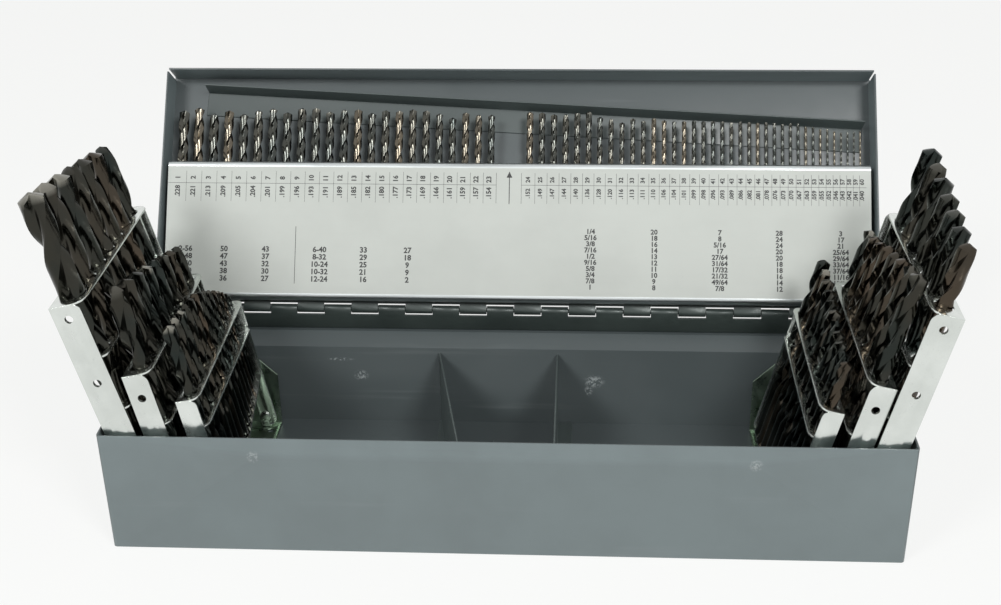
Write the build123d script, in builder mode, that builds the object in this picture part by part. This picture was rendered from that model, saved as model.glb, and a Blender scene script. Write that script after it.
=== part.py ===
from build123d import *
import os
from dataclasses import dataclass
from math import cos, radians, sin, tan

os.makedirs("parts", exist_ok=True)

# Drill index case, standing open: a sheet-steel base with three folding drill leaves at each
# end, and a shallow lid on a piano hinge that carries the rack of number drills.
# Millimetres, Z up, X to the right, Y to the back. The origin is the middle of the underside.

# ---------------------------------------------------------------- case
case_width = 384.4
case_depth = 128.7
case_height = 64.1
case_sheet = 0.9
case_corner = 2.0
ledge_depth = 9.1  # the lower back wall stands this far in front of the upper one
ledge_bottom = 47.2
ledge_top = 52.4
dimple_x = 118.0
dimple_drop = 9.8
dimple_height = 0.4
dimple_radius = 2.2

# ---------------------------------------------------------------- piano hinge
knuckle_radius = 2.3
hinge_leaf = 0.7
hinge_pin_radius = 1.1
hinge_pin_clearance = 0.05
knuckle_count = 26
knuckle_gap = 0.3
hinge_leaf_depth = 8.4
hinge_end_gap = 0.3  # between the ends of the leaves and the side walls
knuckle_clearance = 0.45

# ---------------------------------------------------------------- lid
lid_angle = 127.2  # opening angle, measured from shut
lid_depth = 17.15
lid_sheet = 0.9
lid_clearance = 0.5
lid_bend = 1.2
corner_slit = 1.2
retainer_left = -173.5
retainer_right = 188.5
retainer_start = 122.0  # distance of its shelf from the hinge at the left end
retainer_slope = 3.04
retainer_plate = 13.8
retainer_shelf = 11.5
retainer_lean = 6.5  # the shelf is bent a little less than square
retainer_sheet = 0.8

# ---------------------------------------------------------------- number drill rack
rack_width = 380.4
rack_sheet = 0.9
rack_height = 76.0
rack_tilt = 3.9
rack_pivot_s = 6.9
rack_pivot_t = 8.0
rack_foot = 3.8  # from the pivot down to the bottom bend
rack_face_offset = 3.2  # from the pivot forward to the front of the face plate
rack_bend = 3.0
rack_seat_gap = 0.1  # between the rack's top plate and the lid panel it leans on
rack_foot_depth = 5.6
rack_row_offset = 6.4  # from the front of the face plate back to the drill axes
rack_rest_back = 1.5  # how far the rest strip reaches behind the drill axes
rack_pin_radius = 1.5
rack_head_radius = 2.1
number_gap = 21.1
number_first = -184.2
number_pitch_start = 8.45
number_pitch_middle = 7.05
fine_pitch_start = 6.6
fine_pitch_end = 3.31
number_rest = ((-184.3, 4.9), (7.2, 22.3), (185.6, 47.6))  # x and height of the rest above the pivot
number_plate_margin = 0.25

# ---------------------------------------------------------------- leaf brackets and dividers
bracket_sheet = 0.9
bracket_inner = 129.4
bracket_height = 46.0
bracket_chamfer = 13.6
bracket_wall_gap = 0.6
bracket_length = 112.8
bracket_side_gap = 1.2
bracket_hole = (134.2, 40.5, 1.7)  # x, y and radius of the fixing hole in its floor plate
divider_sheet = 0.9
divider_height = 45.0
divider_x = 23.4
divider_skew_front = -17.8
divider_skew_rear = -39.8
divider_foot = 9.0
divider_end_gap = 0.3

# ---------------------------------------------------------------- leaves
leaf_sheet = 0.9
leaf_hole_clearance = 0.15
leaf_margin = 2.3  # rim of plate outside the largest drill of the row
plate_corner = 7.0
guide_corner = 4.0
rivet_radius = 1.9
rivet_head = 0.5
rivet_head_radius = 2.9
rivet_clearance = 0.08
spacer_wall = 1.0
tab_width = 7.0
tab_height = 26.5
tab_hole = 2.0  # radius of the holes through flanges and tabs
rest_lift = 0.05

# ---------------------------------------------------------------- drills
inch = 25.4
round_sides = 12  # sides of the small round features: knuckles, rivets and their holes
hole_sides = 8
fine_hole_sides = 6
fine_hole_limit = 8.0
number_sides = 6
fine_number_sides = 5
point_angle = 118.0
web_share = 0.3
chisel_share = 0.15
flute_pitch = 6.2  # helix lead in drill diameters
large_step = 50.0  # turn of the helix between two sections
small_step = 72.0
large_angles = (-10, 28, 66, 118)  # three points on the land, one in the flute
small_angles = (0, 56, 118)
flute_least = 5.0  # thinner drills stay plain


@dataclass(frozen=True)
class Leaf:
    """One folding row: where it pivots, how it leans and which drills it holds."""

    side: int
    level: str
    pivot_x: float
    pivot_z: float
    lean: float
    top: float
    flange: float
    flange_back: float
    end_gap: float
    guides: tuple
    holes: tuple  # heights of the round holes in the flanges
    floor_front: float
    floor_rear: float
    sizes: tuple  # drill diameters from the front of the row to the rear

    @property
    def name(self):
        return ("left_" if self.side < 0 else "right_") + self.level

    @property
    def plate_width(self):
        return max(self.sizes) + 2 * leaf_margin

    @property
    def row_w(self):
        return self.plate_width / 2 - self.flange_back


def fractions(first, last):
    step = 1 if last > first else -1
    return tuple(n * inch / 64 for n in range(first, last + step, step))


letters = dict(zip("ABCDEFGHIJKLMNOPQRSTUVWXYZ", (
    0.234, 0.238, 0.242, 0.246, 0.250, 0.257, 0.261, 0.266, 0.272, 0.277, 0.281, 0.290, 0.295,
    0.302, 0.316, 0.323, 0.332, 0.339, 0.348, 0.358, 0.368, 0.377, 0.386, 0.397, 0.404, 0.413)))
numbers = (
    0.228, 0.221, 0.213, 0.209, 0.2055, 0.204, 0.201, 0.199, 0.196, 0.1935, 0.191, 0.189, 0.185,
    0.182, 0.180, 0.177, 0.173, 0.1695, 0.166, 0.161, 0.159, 0.157, 0.154, 0.152, 0.1495, 0.147,
    0.144, 0.1405, 0.136, 0.1285, 0.120, 0.116, 0.113, 0.111, 0.110, 0.1065, 0.104, 0.1015,
    0.0995, 0.098, 0.096, 0.0935, 0.089, 0.086, 0.082, 0.081, 0.0785, 0.076, 0.073, 0.070,
    0.067, 0.0635, 0.0595, 0.055, 0.052, 0.0465, 0.043, 0.042, 0.041, 0.040)


def letter_row(names):
    return tuple(letters[name] * inch for name in names)


outer = dict(pivot_x=176.3, pivot_z=38.5, top=96.0, flange=14.6, flange_back=5.8, end_gap=0.3,
             guides=(67.0, 38.5), holes=(88.7, 54.2), level="outer")
middle = dict(pivot_x=158.0, pivot_z=22.5, top=73.5, flange=11.9, flange_back=4.5, end_gap=2.4,
              guides=(45.0,), holes=(60.8,), level="middle")
inner = dict(pivot_x=137.2, pivot_z=8.6, top=72.6, flange=9.7, flange_back=3.5, end_gap=4.4,
             guides=(56.6,), holes=(), level="inner")
leaves = (
    Leaf(side=-1, lean=14.0, floor_front=-4.7, floor_rear=1.5, sizes=fractions(32, 26), **outer),
    Leaf(side=-1, lean=11.5, floor_front=-14.5, floor_rear=-14.0, sizes=fractions(25, 18), **middle),
    Leaf(side=-1, lean=10.5, floor_front=2.0, floor_rear=28.0, sizes=fractions(17, 4), **inner),
    Leaf(side=1, lean=13.5, floor_front=4.0, floor_rear=2.0, sizes=letter_row("TUVWXYZ"), **outer),
    Leaf(side=1, lean=13.5, floor_front=7.0, floor_rear=-3.0, sizes=letter_row("SRQPONML"), **middle),
    Leaf(side=1, lean=13.5, floor_front=-2.0, floor_rear=-3.0, sizes=letter_row("ABCDEFGHIJK"), **inner),
)

# ---------------------------------------------------------------- places worked out from the sizes
front = -case_depth / 2
back = case_depth / 2
inside_x = case_width / 2 - case_sheet
floor_top = case_sheet
wall_front = front + case_sheet
wall_rear = back - ledge_depth - case_sheet  # inner face of the lower back wall
axis_y = back - case_sheet - hinge_leaf + knuckle_radius
axis_z = case_height + knuckle_radius - hinge_leaf
knuckle_pitch = case_width / knuckle_count
lean_back = lid_angle - 90
panel_t = knuckle_radius - hinge_leaf  # inner face of the lid panel
lid_width = case_width + 2 * (lid_clearance + lid_sheet)
lid_length = axis_y - front + lid_clearance + lid_sheet
bracket_front = wall_front + bracket_wall_gap
bracket_rear = bracket_front + bracket_length
bracket_top = floor_top + bracket_sheet
hinge_point = (0, axis_y, axis_z)
along = Vector(0, sin(radians(lean_back)), cos(radians(lean_back)))
outward = Vector(0, -cos(radians(lean_back)), sin(radians(lean_back)))
lid_plane = Plane(origin=hinge_point, x_dir=(1, 0, 0), z_dir=outward)
lid_side = Plane(origin=hinge_point, x_dir=along, z_dir=(1, 0, 0))
rack_along = along * cos(radians(rack_tilt)) + outward * sin(radians(rack_tilt))
rack_outward = outward * cos(radians(rack_tilt)) - along * sin(radians(rack_tilt))
rack_origin = Vector(*hinge_point) + along * rack_pivot_s + outward * rack_pivot_t
rack_side = Plane(origin=rack_origin, x_dir=rack_along, z_dir=(1, 0, 0))
rack_top = rack_height - rack_foot  # from the pivot up to the top plate's upper face
rack_row = rack_face_offset - rack_row_offset
rack_edge_t = rack_pivot_t + rack_top * sin(radians(rack_tilt)) - panel_t - rack_seat_gap
rack_top_depth = rack_face_offset + rack_edge_t / cos(radians(rack_tilt)) - rack_sheet * tan(radians(rack_tilt))


def export(builder, name):
    """Label a finished piece and write it as one STEP file."""
    builder.part.label = name
    export_step(builder.part, f"parts/{name}.step")


def jobber_length(diameter):
    """Overall length of a jobber drill, close to the usual table for all sizes here."""
    return min(50.8 + 8 * diameter, 31.8 + 12 * diameter)


def shank_length(diameter):
    return 0.25 * jobber_length(diameter) + 0.6 * diameter


def point_height(diameter):
    return diameter / 2 / tan(radians(point_angle / 2))


# ================================================================ base
def base_tray():
    """Folded sheet base: straight front and ends, a back wall that steps in below its ledge."""
    with BuildPart() as tray:
        with BuildSketch(Plane.YZ.offset(-case_width / 2)) as outline:
            with BuildLine():
                Polyline((front, 0), (back - ledge_depth, 0), (back - ledge_depth, ledge_bottom),
                         (back, ledge_top), (back, case_height), (front, case_height), close=True)
            make_face()
        extrude(amount=case_width)
        fillet(tray.edges().filter_by(Axis.Z).group_by(Axis.Y)[0], case_corner)
        with BuildSketch(Plane.YZ.offset(-inside_x)):
            with BuildLine():
                inner_ledge = wall_rear
                Polyline((wall_front, floor_top), (inner_ledge, floor_top),
                         (inner_ledge, ledge_bottom + case_sheet / 2), (back - case_sheet, ledge_top + case_sheet / 2),
                         (back - case_sheet, case_height + 1), (wall_front, case_height + 1), close=True)
            make_face()
        extrude(amount=2 * inside_x, mode=Mode.SUBTRACT)
        # the back wall's top edge is lower, so that the hinge knuckles lie above it
        with BuildSketch(Plane.XZ.offset(-back - 1)):
            with Locations((0, case_height)):
                Rectangle(case_width + 2, 2 * (case_height - axis_z + knuckle_radius + knuckle_clearance))
        extrude(amount=case_sheet + 2, mode=Mode.SUBTRACT)
        # detent dimples near the front edge, and a small locating lug on the floor
        dome = Plane(origin=(0, front, case_height - dimple_drop), x_dir=(1, 0, 0), z_dir=(0, -1, 0))
        with BuildSketch(dome):
            with Locations((-dimple_x, 0), (dimple_x, 0)):
                RegularPolygon(dimple_radius, round_sides)
        extrude(amount=dimple_height, taper=60)
        with BuildSketch(Plane.XZ.offset(-front - 97.0)):
            with Locations((-10.5, floor_top + 1.0)):
                Rectangle(0.8, 2.4)
        extrude(amount=4.6)
    export(tray, "base_tray")


def bracket(side, name):
    """U-shaped leaf bracket: floor plate with a front and a rear plate, inner corner cut off."""
    outer_x = inside_x - bracket_side_gap
    width = outer_x - bracket_inner
    centre = side * (outer_x + bracket_inner) / 2
    rivets = [(leaf.side * leaf.pivot_x, leaf.pivot_z) for leaf in leaves if leaf.side == side]
    with BuildPart() as part:
        with BuildSketch(Plane.XZ.offset(-bracket_front)):
            with BuildLine():
                Polyline((side * bracket_inner, floor_top), (side * outer_x, floor_top),
                         (side * outer_x, bracket_height - 5), (side * (outer_x - 5), bracket_height),
                         (side * (bracket_inner + bracket_chamfer), bracket_height),
                         (side * bracket_inner, bracket_height - bracket_chamfer), close=True)
            make_face()
        extrude(amount=-bracket_length)
        with BuildSketch(Plane.XZ.offset(-bracket_front - bracket_sheet)):
            with Locations((centre, bracket_top + case_height / 2)):
                Rectangle(width + 2, case_height)
        extrude(amount=-(bracket_length - 2 * bracket_sheet), mode=Mode.SUBTRACT)
        with BuildSketch(Plane.XZ.offset(-bracket_front)):
            with Locations(*rivets):
                RegularPolygon(rivet_radius, round_sides)
        extrude(amount=-bracket_length, mode=Mode.SUBTRACT)
        # one open fixing hole in the floor plate
        with BuildSketch(Plane.XY.offset(bracket_top)):
            with Locations((side * bracket_hole[0], bracket_hole[1])):
                RegularPolygon(bracket_hole[2], round_sides)
        extrude(amount=-bracket_sheet, mode=Mode.SUBTRACT)
    export(part, name)


def left_divider():
    """Divider that follows the tips of the longest row: set askew, with a wedge-shaped foot."""
    y0 = wall_front + divider_end_gap
    y1 = wall_rear - divider_end_gap
    with BuildPart() as part:
        with BuildSketch(Plane.XY.offset(floor_top)):
            with BuildLine():
                Polyline((divider_skew_front, y0), (divider_skew_rear, y1),
                         (divider_skew_rear - divider_sheet, y1), (divider_skew_front - divider_sheet, y0),
                         close=True)
            make_face()
        extrude(amount=divider_height - floor_top)
        with BuildSketch(Plane.XY.offset(floor_top)):
            with BuildLine():
                Polyline((divider_skew_front - divider_sheet, y0), (divider_skew_rear - divider_sheet, y1),
                         (divider_skew_rear - 2 * divider_sheet, y1), (divider_skew_rear + 1, y0), close=True)
            make_face()
        extrude(amount=divider_sheet)
    export(part, "left_divider")


def right_divider():
    """Straight divider on the other side of the middle compartment, with a foot along the floor."""
    y0 = wall_front + divider_end_gap
    length = wall_rear - divider_end_gap - y0
    with BuildPart() as part:
        with BuildSketch(Plane.XZ.offset(-y0)):
            with BuildLine():
                Polyline((divider_x, floor_top), (divider_x, divider_height),
                         (divider_x + divider_sheet, divider_height),
                         (divider_x + divider_sheet, floor_top + divider_sheet),
                         (divider_x + divider_foot, floor_top + divider_sheet),
                         (divider_x + divider_foot, floor_top), close=True)
            make_face()
        extrude(amount=-length)
    export(part, "right_divider")


# ================================================================ piano hinge
def knuckle_spans(parity):
    """Start and length of every second knuckle along the hinge."""
    for index in range(parity, knuckle_count, 2):
        yield -case_width / 2 + index * knuckle_pitch + knuckle_gap / 2, knuckle_pitch - knuckle_gap


def hinge_strip(parity, side_plane, facing, name):
    """One hinge leaf with its knuckles. In side_plane, x runs along the leaf from the pin."""
    bore = hinge_pin_radius + hinge_pin_clearance
    level = facing * (panel_t + hinge_leaf / 2)
    clear = knuckle_radius + knuckle_clearance - 0.05
    with BuildPart() as part:
        with BuildSketch(side_plane.offset(hinge_end_gap - inside_x)):
            with Locations(((clear + hinge_leaf_depth + knuckle_radius) / 2, level)):
                Rectangle(hinge_leaf_depth + knuckle_radius - clear, hinge_leaf)
        extrude(amount=2 * (inside_x - hinge_end_gap))
        for start, length in knuckle_spans(parity):
            with BuildSketch(side_plane.offset(start)):
                with Locations((clear / 2, level)):
                    Rectangle(clear, hinge_leaf)
                RegularPolygon(knuckle_radius, round_sides)
                RegularPolygon(bore, hole_sides, major_radius=False, mode=Mode.SUBTRACT)
            extrude(amount=length)
    export(part, name)


def hinge():
    """Piano hinge: a leaf down the back wall, a leaf up the lid panel, and the pin."""
    base_side = Plane(origin=hinge_point, x_dir=(0, 0, -1), z_dir=(1, 0, 0))
    hinge_strip(0, base_side, -1, "hinge_base_leaf")
    hinge_strip(1, lid_side, 1, "hinge_lid_leaf")
    with BuildPart() as pin:
        with BuildSketch(lid_side.offset(-case_width / 2)):
            Circle(hinge_pin_radius)
        extrude(amount=case_width)
    export(pin, "hinge_pin")


# ================================================================ lid
def lid_shell():
    """Shallow pan: panel, two side rims and a front rim, with open slits at the far corners."""
    start = knuckle_radius + knuckle_clearance
    outer_t = panel_t - lid_sheet
    with BuildPart() as shell:
        with BuildSketch(lid_plane.offset(outer_t)):
            with Locations((0, (start + lid_length) / 2)):
                Rectangle(lid_width, lid_length - start)
        extrude(amount=lid_depth)
        panel_edges = shell.edges().filter_by(lambda e: abs(e.center().sub(lid_plane.origin).dot(outward) - outer_t) < 0.01)
        fillet([e for e in panel_edges if e.center().sub(lid_plane.origin).dot(along) > start + 1], lid_bend)
        with BuildSketch(lid_plane.offset(panel_t)):
            with Locations((0, (lid_length - lid_sheet) / 2)):
                Rectangle(lid_width - 2 * lid_sheet, lid_length - lid_sheet)
        extrude(amount=lid_depth, mode=Mode.SUBTRACT)
        with BuildSketch(lid_plane.offset(panel_t)):
            with Locations((-lid_width / 2, lid_length - lid_sheet), (lid_width / 2, lid_length - lid_sheet)):
                Rectangle(2 * lid_sheet, 2 * corner_slit)
        extrude(amount=lid_depth, mode=Mode.SUBTRACT)
        tip = lid_plane.from_local_coords((0, lid_length, panel_t + dimple_drop))
        with BuildSketch(Plane(origin=tip, x_dir=(1, 0, 0), z_dir=along)):
            with Locations((-dimple_x, 0), (dimple_x, 0)):
                RegularPolygon(dimple_radius, round_sides)
        extrude(amount=dimple_height, taper=60)
        # holes in the side rims for the pins of the rack
        with BuildSketch(lid_side.offset(-lid_width)):
            with Locations((rack_pivot_s, rack_pivot_t)):
                RegularPolygon(rack_pin_radius, round_sides)
        extrude(amount=2 * lid_width, mode=Mode.SUBTRACT)
    export(shell, "lid_shell")


def retainer_strip():
    """L-shaped strip across the lid: the shelf keeps the number drills from sliding out."""
    run = retainer_right - retainer_left
    length = run / cos(radians(retainer_slope))
    start = lid_plane.from_local_coords((retainer_left, retainer_start, panel_t))
    direction = Vector(1, 0, 0) * cos(radians(retainer_slope)) - along * sin(radians(retainer_slope))
    section = Plane(origin=start, x_dir=outward, z_dir=direction)  # y runs across the strip
    up = 1 if section.y_dir.dot(along) > 0 else -1
    rise, run_out = sin(radians(retainer_lean)), cos(radians(retainer_lean))
    tip = (retainer_shelf * run_out, retainer_shelf * rise)
    under = (tip[0] + retainer_sheet * rise, tip[1] - retainer_sheet * run_out)
    inner = under[1] - (under[0] - retainer_sheet) * rise / run_out
    with BuildPart() as strip:
        with BuildSketch(section):
            with BuildLine():
                Polyline((0, 0), (tip[0], up * tip[1]), (under[0], up * under[1]), (retainer_sheet, up * inner),
                         (retainer_sheet, -up * retainer_plate), (0, -up * retainer_plate), close=True)
            make_face()
        extrude(amount=length)
    export(strip, "retainer_strip")


# ================================================================ number drill rack
def number_positions():
    """X of each number drill: two stretches of slowly narrowing pitch with a gap between."""
    x = number_first
    places = [x]
    for index in range(22):
        x += number_pitch_start + (number_pitch_middle - number_pitch_start) * index / 21
        places.append(x)
    x += number_gap
    places.append(x)
    for index in range(36):
        x += fine_pitch_start + (fine_pitch_end - fine_pitch_start) * index / 35
        places.append(x)
    return places


def rest_height(x):
    """Height of the rest's upper face above the rack pivot at x."""
    (x0, z0), (x1, z1), (x2, z2) = number_rest
    if x < x1:
        return z0 + (z1 - z0) * (x - x0) / (x1 - x0)
    return z1 + (z2 - z1) * (x - x1) / (x2 - x1)


def number_foot(x, diameter):
    """A number drill stands on the high side of the sloping rest."""
    return rest_height(x + diameter / 2) + rest_lift


def rack_face():
    """Face plate with its top plate and foot bent back, and the two end plates."""
    bottom = -rack_foot
    inner_face = rack_face_offset - rack_sheet
    with BuildPart() as part:
        with BuildSketch(rack_side.offset(-rack_width / 2)):
            with BuildLine():
                Polyline((rack_top, rack_face_offset - rack_top_depth), (rack_top, rack_face_offset),
                         (bottom, rack_face_offset), (bottom, rack_face_offset - rack_foot_depth),
                         (bottom + rack_sheet, rack_face_offset - rack_foot_depth), (bottom + rack_sheet, inner_face),
                         (rack_top - rack_sheet, inner_face), (rack_top - rack_sheet, rack_face_offset - rack_top_depth),
                         close=True)
            make_face()
        extrude(amount=rack_width)
        for height, level, radius in ((bottom, rack_face_offset, rack_bend), (rack_top, rack_face_offset, rack_bend),
                                      (bottom + rack_sheet, inner_face, rack_bend - rack_sheet),
                                      (rack_top - rack_sheet, inner_face, rack_bend - rack_sheet)):
            corner = rack_side.from_local_coords((height, level, 0))
            near = part.edges().filter_by(Axis.X).sort_by(lambda e: (e.center() - corner - Vector(e.center().X, 0, 0)).length)
            fillet(near[0], radius)
        for side in (-1, 1):
            with BuildSketch(rack_side.offset(side * rack_width / 2 - (rack_sheet if side > 0 else 0))):
                with BuildLine():
                    Polyline((bottom + rack_sheet, inner_face), (rack_top - rack_sheet, inner_face),
                             (rack_top - rack_sheet, rack_face_offset - rack_top_depth),
                             (rack_top - 2 * rack_top_depth, rack_face_offset - rack_foot_depth),
                             (bottom + rack_sheet, rack_face_offset - rack_foot_depth), close=True)
                make_face()
                RegularPolygon(rack_pin_radius + rivet_clearance, round_sides, major_radius=False, mode=Mode.SUBTRACT)
            extrude(amount=rack_sheet)
        plate = Plane(origin=rack_origin + rack_along * rack_top, x_dir=(1, 0, 0), z_dir=rack_along)
        sign = 1 if plate.y_dir.dot(rack_outward) > 0 else -1
        with BuildSketch(plate):
            for x, size in zip(number_positions(), numbers):
                with Locations((x, sign * rack_row)):
                    RegularPolygon(size * inch / 2 + number_plate_margin, fine_hole_sides, major_radius=False)
        extrude(amount=-2 * rack_sheet, mode=Mode.SUBTRACT)
    export(part, "rack_face")


def rack_rest():
    """Sloping rest strip under the number drills, from end plate to end plate."""
    x1 = rack_width / 2 - rack_sheet
    corners = [(x, rest_height(x)) for x in (-x1, number_rest[1][0], x1)]
    face = Plane(origin=rack_origin + rack_outward * (rack_row - rack_rest_back), x_dir=(1, 0, 0), z_dir=rack_outward)
    up = 1 if face.y_dir.dot(rack_along) > 0 else -1
    with BuildPart() as part:
        with BuildSketch(face):
            with BuildLine():
                upper = [(x, up * z) for x, z in corners]
                lower = [(x, up * (z - rack_sheet)) for x, z in reversed(corners)]
                Polyline(*upper, *lower, close=True)
            make_face()
        extrude(amount=rack_face_offset - rack_sheet - rack_row + rack_rest_back)
    export(part, "rack_rest")


def rack_pins():
    """Two short pins on which the rack tilts, headed on the inside of its end plates."""
    outer_end = lid_width / 2
    inner_end = rack_width / 2 - rack_sheet
    with BuildPart() as part:
        for side in (-1, 1):
            with BuildSketch(lid_side.offset(side * inner_end)):
                with Locations((rack_pivot_s, rack_pivot_t)):
                    RegularPolygon(rack_pin_radius, round_sides)
            extrude(amount=side * (outer_end - inner_end))
            with BuildSketch(lid_side.offset(side * inner_end)):
                with Locations((rack_pivot_s, rack_pivot_t)):
                    RegularPolygon(rack_head_radius, round_sides)
            extrude(amount=-side * rivet_head)
    export(part, "rack_pins")


# ================================================================ leaves
def leaf_axes(leaf):
    """Unit vectors of a leaf: across towards the middle of the case, and up along its drills."""
    angle = radians(leaf.lean)
    across = Vector(-leaf.side * cos(angle), 0, sin(angle))
    upward = Vector(leaf.side * sin(angle), 0, cos(angle))
    return across, upward


def leaf_ends(leaf):
    """Y of the outer faces of the leaf's front and rear flanges."""
    return bracket_front + bracket_sheet + leaf.end_gap, bracket_rear - bracket_sheet - leaf.end_gap


def leaf_point(leaf, w, y, v):
    across, upward = leaf_axes(leaf)
    return Vector(leaf.side * leaf.pivot_x, y, leaf.pivot_z) + across * w + upward * v


def leaf_section(leaf, y):
    """Plane across the case at depth y, whose x runs across the leaf and y up along it."""
    across, _ = leaf_axes(leaf)
    return Plane(origin=leaf_point(leaf, 0, y, 0), x_dir=across, z_dir=(0, leaf.side, 0))


def leaf_level(leaf, v):
    """Plane square to the leaf's drills at height v, whose x runs across the leaf."""
    across, upward = leaf_axes(leaf)
    return Plane(origin=leaf_point(leaf, 0, 0, v), x_dir=across, z_dir=upward)


def row_places(leaf):
    """Y of each drill of the row, with the same gap between neighbours and at the ends."""
    y0, y1 = leaf_ends(leaf)
    free = y1 - y0 - 2 * leaf_sheet - sum(leaf.sizes)
    gap = free / (len(leaf.sizes) + 1)
    places = []
    y = y0 + leaf_sheet
    for size in leaf.sizes:
        y += gap + size / 2
        places.append(y)
        y += size / 2
    return places


def floor_height(leaf, y):
    y0, y1 = leaf_ends(leaf)
    return leaf.floor_front + (leaf.floor_rear - leaf.floor_front) * (y - y0) / (y1 - y0)


def drill_foot(leaf, y, size):
    """A drill stands on the high side of the sloping rest."""
    slope = abs(leaf.floor_rear - leaf.floor_front) / (leaf_ends(leaf)[1] - leaf_ends(leaf)[0])
    return floor_height(leaf, y) + slope * size / 2 + rest_lift


def cut_row(leaf, level, depth):
    """Cut the row's drill holes downwards through a plate whose upper face is at level."""
    with BuildSketch(leaf_level(leaf, level)) as holes:
        for y, size in zip(row_places(leaf), leaf.sizes):
            with Locations((leaf.row_w, -leaf.side * y)):
                sides = fine_hole_sides if size < fine_hole_limit else hole_sides
                RegularPolygon(size / 2 + leaf_hole_clearance, sides, major_radius=False)
    extrude(holes.sketch, amount=-depth, mode=Mode.SUBTRACT)


def leaf_frame(leaf):
    """Leaf frame: a holed top plate with a flange bent down at each end, rounded at the pivot."""
    y0, y1 = leaf_ends(leaf)
    edge = leaf.flange - leaf.flange_back
    length = y1 - y0
    low = min(leaf.floor_front, leaf.floor_rear) - leaf_sheet
    with BuildPart() as part:
        for start, sign in ((y0, 1), (y1, -1)):
            with BuildSketch(leaf_section(leaf, start)):
                with Locations(((edge - leaf.flange_back) / 2, leaf.top / 2)):
                    Rectangle(leaf.flange, leaf.top)
                RegularPolygon(edge, 2 * hole_sides)
                if low < -edge:
                    with Locations(((edge - leaf.flange_back) / 2, low / 2)):
                        Rectangle(leaf.flange - 2, -low)
                with Locations((-leaf.flange_back - edge, 0)):
                    Rectangle(2 * edge, 4 * edge, mode=Mode.SUBTRACT)
                RegularPolygon(rivet_radius + rivet_clearance, round_sides, major_radius=False, mode=Mode.SUBTRACT)
                for hole in leaf.holes:
                    with Locations(((edge - leaf.flange_back) / 2, hole)):
                        RegularPolygon(tab_hole, hole_sides, mode=Mode.SUBTRACT)
            extrude(amount=sign * leaf.side * leaf_sheet)
        with BuildSketch(leaf_level(leaf, leaf.top)) as top:
            with Locations((leaf.plate_width / 2 - leaf.flange_back, -leaf.side * (y0 + y1) / 2)):
                Rectangle(leaf.plate_width, length)
            fillet(top.vertices().sort_by(Axis.X)[-2:], min(plate_corner, leaf.plate_width / 2 - 0.5))
        extrude(amount=-leaf_sheet)
        cut_row(leaf, leaf.top, 2 * leaf_sheet)
    export(part, f"{leaf.name}_leaf")


def leaf_guides(leaf):
    """Lower guide plates with tabs bent up against the flanges, and the sloping rest strip."""
    y0, y1 = leaf_ends(leaf)
    inner_y0 = y0 + leaf_sheet
    inner_y1 = y1 - leaf_sheet
    edge = leaf.flange - leaf.flange_back
    width = leaf.plate_width
    middle_w = (edge - leaf.flange_back) / 2
    with BuildPart() as part:
        for guide in leaf.guides:
            with BuildSketch(leaf_level(leaf, guide)) as plate:
                with Locations((width / 2 - leaf.flange_back, -leaf.side * (y0 + y1) / 2)):
                    Rectangle(width, inner_y1 - inner_y0)
                chamfer(plate.vertices().sort_by(Axis.X)[-2:], min(guide_corner, width / 2 - 0.5))
            extrude(amount=-leaf_sheet)
            cut_row(leaf, guide, 2 * leaf_sheet)
            reach = min(tab_height, leaf.top - leaf_sheet - guide - 1)
            for start, sign in ((inner_y0, 1), (inner_y1, -1)):
                with BuildSketch(leaf_section(leaf, start)):
                    with Locations((middle_w, guide - leaf_sheet + reach / 2)):
                        Rectangle(tab_width, reach)
                    for hole in leaf.holes:
                        if guide < hole < guide + reach:
                            with Locations((middle_w, hole)):
                                RegularPolygon(tab_hole, hole_sides, mode=Mode.SUBTRACT)
                extrude(amount=sign * leaf.side * leaf_sheet)
        rest = Plane(origin=leaf_point(leaf, -leaf.flange_back + 1, 0, 0), x_dir=(0, 1, 0),
                     z_dir=leaf_axes(leaf)[0])
        up = 1 if rest.y_dir.dot(leaf_axes(leaf)[1]) > 0 else -1
        with BuildSketch(rest):
            with BuildLine():
                z0 = floor_height(leaf, inner_y0)
                z1 = floor_height(leaf, inner_y1)
                Polyline((inner_y0, up * z0), (inner_y1, up * z1), (inner_y1, up * (z1 - leaf_sheet)),
                         (inner_y0, up * (z0 - leaf_sheet)), close=True)
            make_face()
        extrude(amount=leaf.flange - 2)
        # recesses at the ends of the rest strip clear the rivet heads
        with BuildSketch(leaf_level(leaf, max(leaf.floor_front, leaf.floor_rear) + 0.1)):
            with Locations((0, -leaf.side * inner_y0), (0, -leaf.side * inner_y1)):
                Rectangle(2 * (rivet_head_radius + 0.2), 2 * (rivet_head + 0.2))
        lowest = min(leaf.floor_front, leaf.floor_rear) - leaf_sheet
        extrude(amount=-(max(leaf.floor_front, leaf.floor_rear) - lowest + 0.2), mode=Mode.SUBTRACT)
    export(part, f"{leaf.name}_guides")


def leaf_rivets(side, name):
    """Rivets on which the leaves turn, with a spacer collar between flange and bracket plate."""
    with BuildPart() as part:
        for leaf in leaves:
            if leaf.side != side:
                continue
            for start, sign in ((bracket_front, 1), (bracket_rear, -1)):
                length = bracket_sheet + leaf.end_gap + leaf_sheet + rivet_clearance
                plane = Plane(origin=(side * leaf.pivot_x, start, leaf.pivot_z), x_dir=(1, 0, 0), z_dir=(0, sign, 0))
                with BuildSketch(plane):
                    RegularPolygon(rivet_radius, round_sides)
                extrude(amount=length)
                with BuildSketch(plane.offset(length), plane.offset(-rivet_head)):
                    RegularPolygon(rivet_head_radius, round_sides)
                extrude(amount=rivet_head)
                if leaf.end_gap > spacer_wall:
                    with BuildSketch(plane.offset(bracket_sheet)):
                        RegularPolygon(rivet_radius + spacer_wall, hole_sides)
                    extrude(amount=leaf.end_gap - rivet_clearance)
    export(part, name)


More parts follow.
